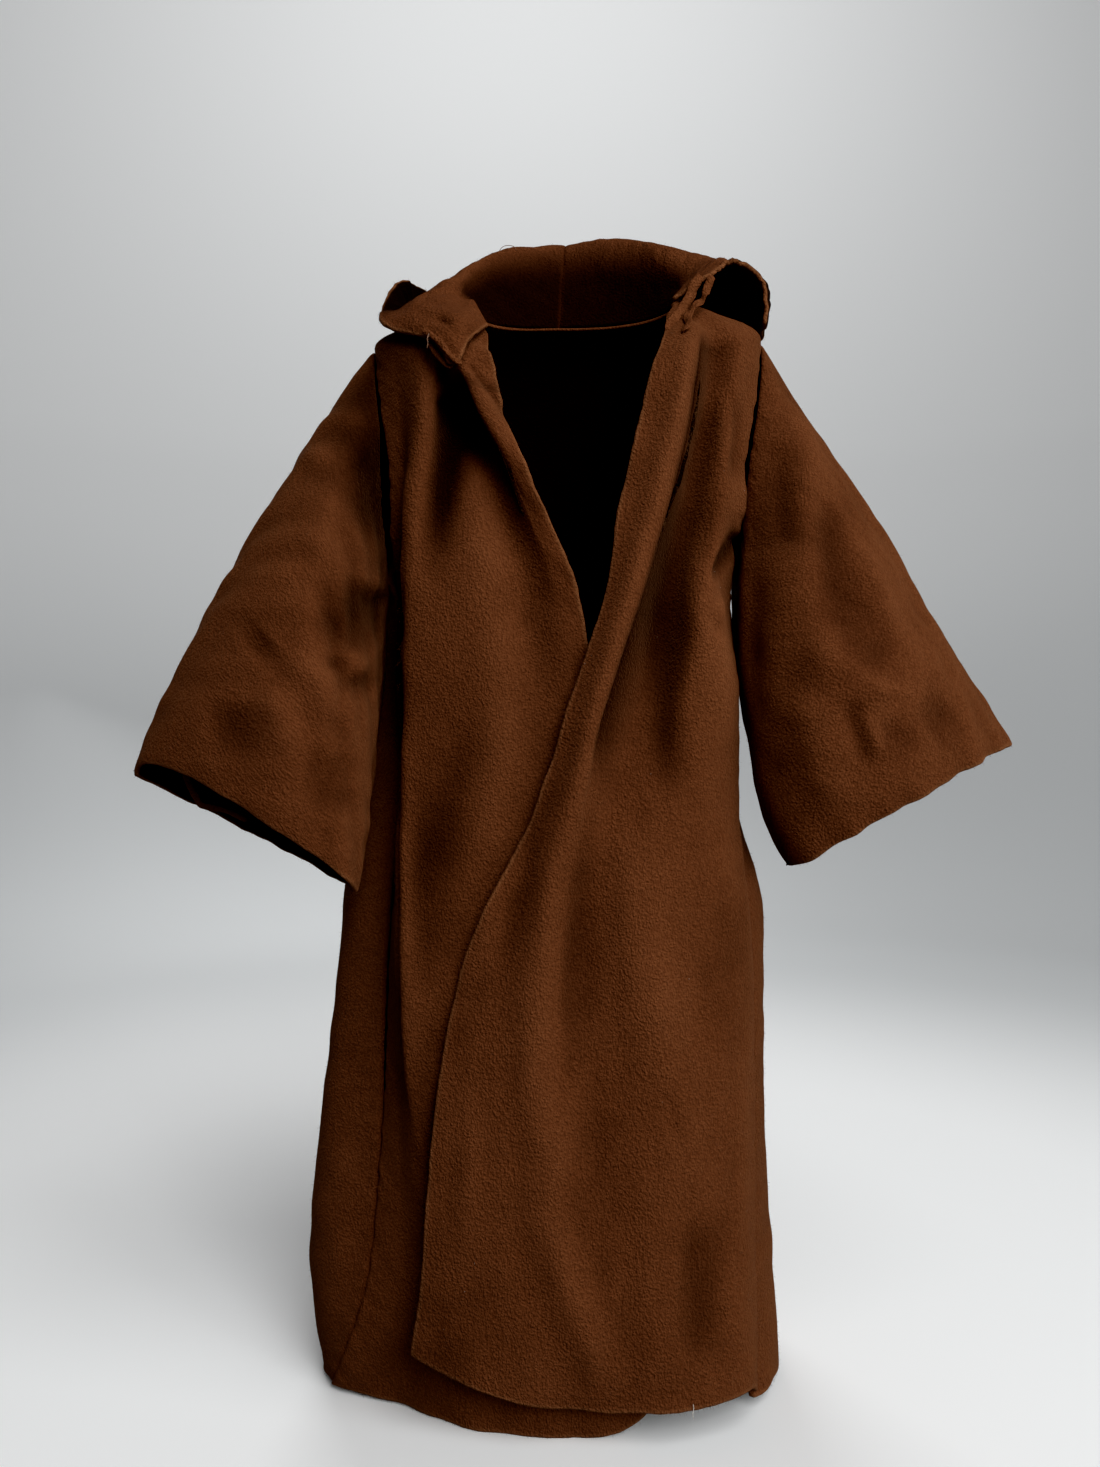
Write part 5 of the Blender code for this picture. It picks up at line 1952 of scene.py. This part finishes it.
# Creases of the hood: the groove where the collar turns, and soft dents of the pouch behind.
RIGHT_HOOD_CREASES = creases(
    ((-0.9, 1.3, 1.2), (-17.9, 7.5, 245, -19.5, 3.1, 241.4, -20.8, -2.9, 237, -21.6, -9.4, 232.6)),
    ((0.6, 2.2, 1), (-24, -2, 240, -25.6, -9, 234.6, -26.6, -14, 229.4)),
    ((-0.5, 1.1, 1), (-22, -20, 223.4, -24, -19.4, 224.6, -26, -17, 226.4)),
    ((0.9, 3.4, 1), (-24, 31, 236, -18, 34.4, 226, -9, 36.6, 217)),
    ((-0.8, 2.6, 1), (-20, 33, 240, -12, 36, 232, -4, 37, 222)),
    axes=3,
)
LEFT_HOOD_CREASES = creases(
    ((-0.7, 1.2, 1), (33, 4, 248, 31.4, -2, 244.6, 29.8, -6, 240.6)),
    ((0.3, 1.6, 1), (35.6, 3, 247, 34.6, -3, 244, 33.6, -7, 241)),
    ((0.9, 3.2, 1), (26, 31, 234, 19, 34.6, 226, 10, 36.8, 216)),
    ((-0.8, 2.4, 1), (30, 30, 238, 22, 34, 234, 12, 36.6, 227)),
    axes=3,
)


# ---- The whole robe and its studio ----


# For each solid its shape, its material, its slot, the width and length of its cut cloth in metres, and
# its cloth's area.
SOLIDS = {
    "right_front": (
        Front(side=Side.RIGHT, lines=RIGHT_LINES, hem=RIGHT_HEM, creases=RIGHT_CREASES),
        "body", SLOT_BODY, (0.071, 0.236), 0.0130,
    ),
    "left_front": (
        Front(side=Side.LEFT, lines=LEFT_LINES, hem=LEFT_HEM, creases=LEFT_CREASES),
        "body", SLOT_BODY, (0.075, 0.232), 0.0134,
    ),
    "back": (Back(), "body", SLOT_BODY, (0.187, 0.238), 0.0333),
    "right_sleeve": (RIGHT_SLEEVE, "sleeve", SLOT_BODY, (0.12, 0.105), 0.0094),
    "left_sleeve": (LEFT_SLEEVE, "sleeve", SLOT_BODY, (0.12, 0.105), 0.0094),
    "right_hood": (Hood(Side.RIGHT, RIGHT_HOOD_CREASES), "hood", SLOT_HOOD, (0.07, 0.085), 0.0051),
    "left_hood": (Hood(Side.LEFT, LEFT_HOOD_CREASES), "hood", SLOT_HOOD, (0.07, 0.085), 0.0051),
}


@dataclass
class Robe:
    """The robe: its seven cloth pieces, with their loose pile."""

    hairs_per_mm2: float = 0.66
    hairs_per_mm: float = 7.0
    hair_length: Pair = (0.25, 0.95)
    lint_per_mm2: float = 0.0012
    lint_length: Pair = (0.3, 0.6)
    lint_lean: float = 3.0
    lint_thick: float = 0.06

    def build(self) -> None:
        """Builds every piece of cloth, its hairs and its trims, and hides the solid that each stands in for.
        """
        made = {name: recipe.material() for name, recipe in MATERIALS.items()}
        walls = [shape.build(f"{node}_cloth", made[kind]) for node, (shape, kind, *_) in SOLIDS.items()]
        for number, (node, wall) in enumerate(zip(SOLIDS, walls)):
            cloth = wall.build()
            pile = Pile(f"{node}_pile", made["pile"], SEED + 10 * number)
            pile.scatter(wall, self.hairs_per_mm2, self.hair_length)
            pile.fringe(wall, self.hairs_per_mm, self.hair_length)
            fuzz = pile.build()
            trims = [strip.build(made[kind]) for kind, strip in TRIMS.get(node, ())]
            if node == "left_front":
                lint = Pile("left_front_lint", made["lint"], SEED + 5)
                lint.scatter(wall, self.lint_per_mm2, self.lint_length, self.lint_lean)
                trims.append(lint.build(self.lint_thick))
            for piece in (cloth, fuzz, *trims):
                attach(piece, "root")
            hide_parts(node)
            rests = [name for name in ("back", "right_front", "left_front") if name != node]
            counts = len(cloth.data.polygons), len(fuzz.data.polygons)
            log.info("%s: %d faces, %d hair faces", cloth.name, *counts)


@dataclass
class Studio:
    """The floor that sweeps up on every side, the soft lights and the camera."""

    floor_height: float = -232.4
    flat_radius: float = 560.0
    bend_radius: float = 420.0
    wall_top: float = 1350.0
    black: float = 0.085
    gamma: float = 2.2
    air: float = 0.10
    light_spread: float = 2.4
    # The painted light on the paper: how it fades out round the robe and rises up the wall, in metres.
    painted_light_radii: Pair = (0.18, 0.46)
    painted_light_heights: Pair = (-0.20, 0.26)
    turns: int = 96
    lens: float = 27.04
    camera_at: Triple = (-2.3, -246.0, 140.0)

    def build(self) -> None:
        """Builds the stage, the lights and the camera."""
        self.sweep()
        self.lights()
        self.camera()
        scene = bpy.context.scene
        scene.view_settings.view_transform = "Standard"
        self.tone(scene.view_settings)
        scene.world = bpy.data.worlds.new("studio air")
        scene.world.use_nodes = True
        background = scene.world.node_tree.nodes["Background"]
        background.inputs[0].default_value = rgb(0.95, 0.97, 1.0)
        background.inputs[1].default_value = self.air

    def tone(self, view: bpy.types.ColorManagedViewSettings) -> None:
        """Gives the picture a camera's firm blacks: shown = ((x^(1/g) - b) / (1 - b))^g, b being black."""
        view.use_curve_mapping = True
        curve = view.curve_mapping.curves[ALL_COLOURS]
        light = np.array([0.004, 0.008, 0.0144, 0.033, 0.0732, 0.133, 0.214, 0.448])
        shown = np.clip((light ** (1 / self.gamma) - self.black) / (1 - self.black), 0, None) ** self.gamma
        for x, y in zip(light.tolist(), shown.tolist()):
            curve.points.new(x, y)
        view.curve_mapping.update()

    def sweep(self) -> None:
        """A turned profile: flat floor, a quarter-round bend, and an upright wall.

        Its paper has painted light: palest round the robe and high up on the wall, darker between. It throws
        no light back on the robe.
        """
        bend = np.radians(np.linspace(0, 90, 24))
        curved = self.flat_radius + self.bend_radius * np.sin(bend)
        radius = np.concatenate([[0.01, 60.0, 200.0, 400.0], curved])
        height = np.concatenate([np.zeros(4), self.bend_radius * (1 - np.cos(bend))])
        radius = np.append(radius, radius[-1])
        height = np.append(height, self.wall_top)
        turn = np.linspace(0, 2 * np.pi, self.turns, endpoint=False)
        points = np.stack(
            [
                radius[:, None] * np.cos(turn),
                radius[:, None] * np.sin(turn),
                np.broadcast_to(height[:, None] + self.floor_height + NECK_HEIGHT, (len(radius), self.turns)),
            ],
            axis=-1,
        )
        ids = np.arange(points[..., 0].size).reshape(points.shape[:2])
        across = np.roll(ids, -1, axis=1)
        faces = np.stack([ids[:-1], ids[1:], across[1:], across[:-1]], axis=-1).reshape(-1, 4)
        graph = Graph("pale studio paper")
        place = graph.node("ShaderNodeTexCoord").outputs["Object"]
        # Painted light: the paper is palest near the robe and high up the wall.
        on_floor = {0: graph.scaled(place, (1, 1, 0))}
        flat = graph.node("ShaderNodeVectorMath", {"operation": "LENGTH"}, on_floor)
        near = 1 - Scalar(graph, flat.outputs["Value"]).over(*self.painted_light_radii)
        height_of = graph.node("ShaderNodeSeparateXYZ", {}, {0: place}).outputs[2]
        high = Scalar(graph, height_of).over(*self.painted_light_heights)
        tone = near + high + graph.noise(place, 0.15, 2.0) * 0.04
        paper = graph.mix(tone, rgb(0.62, 0.635, 0.64), rgb(0.92, 0.93, 0.93))
        graph.finish(paper, 0.75, None, 0.0)
        graph.gloss(0.15, 0.0)
        sweep = make_object("studio_sweep", points.reshape(-1, 3), faces, graph.material)
        sweep.visible_diffuse = False

    def lights(self) -> None:
        """Soft boxes: overhead, to the right, low in front and behind, and one that washes the wall."""
        table = (
            ("overhead", (0.28, -0.50, 0.70), (0.0, 0.0, -0.12), 0.60, 2.45),
            ("right box", (0.75, -0.45, 0.04), (0.0, 0.0, -0.14), 0.50, 2.4),
            ("front fill", (0.26, -0.72, 0.24), (0.0, 0.0, -0.14), 0.45, 2.1),
            ("back fill", (-0.20, 0.75, 0.20), (0.0, 0.0, -0.12), 0.50, 1.8),
            ("wall wash", (0.0, 0.30, 0.95), (0.0, 1.00, 0.42), 0.50, 2.5),
        )
        for name, place, target, size, power in table:
            light = bpy.data.lights.new(name, "AREA")
            light.shape = "SQUARE"
            light.size = size
            light.energy = power
            light.spread = self.light_spread
            lamp = bpy.data.objects.new(name, light)
            lamp.location = place
            lamp.rotation_mode = "QUATERNION"
            lamp.rotation_quaternion = (Vector(target) - Vector(place)).to_track_quat("-Z", "Y")
            bpy.context.scene.collection.objects.link(lamp)

    def camera(self) -> None:
        """A level camera in front of the robe."""
        data = bpy.data.cameras.new("camera")
        data.lens = self.lens
        data.sensor_width = 36.0
        data.clip_start = 0.01
        data.clip_end = 10.0
        camera = bpy.data.objects.new("camera", data)
        camera.location = to_world(np.array(self.camera_at))
        camera.rotation_euler = (np.pi / 2, 0.0, 0.0)
        bpy.context.scene.collection.objects.link(camera)
        bpy.context.scene.camera = camera


def main() -> None:
    """Builds the studio and the robe."""
    logging.basicConfig(level=logging.INFO, format="%(message)s")
    Studio().build()
    Robe().build()


if __name__ == "__main__":
    main()
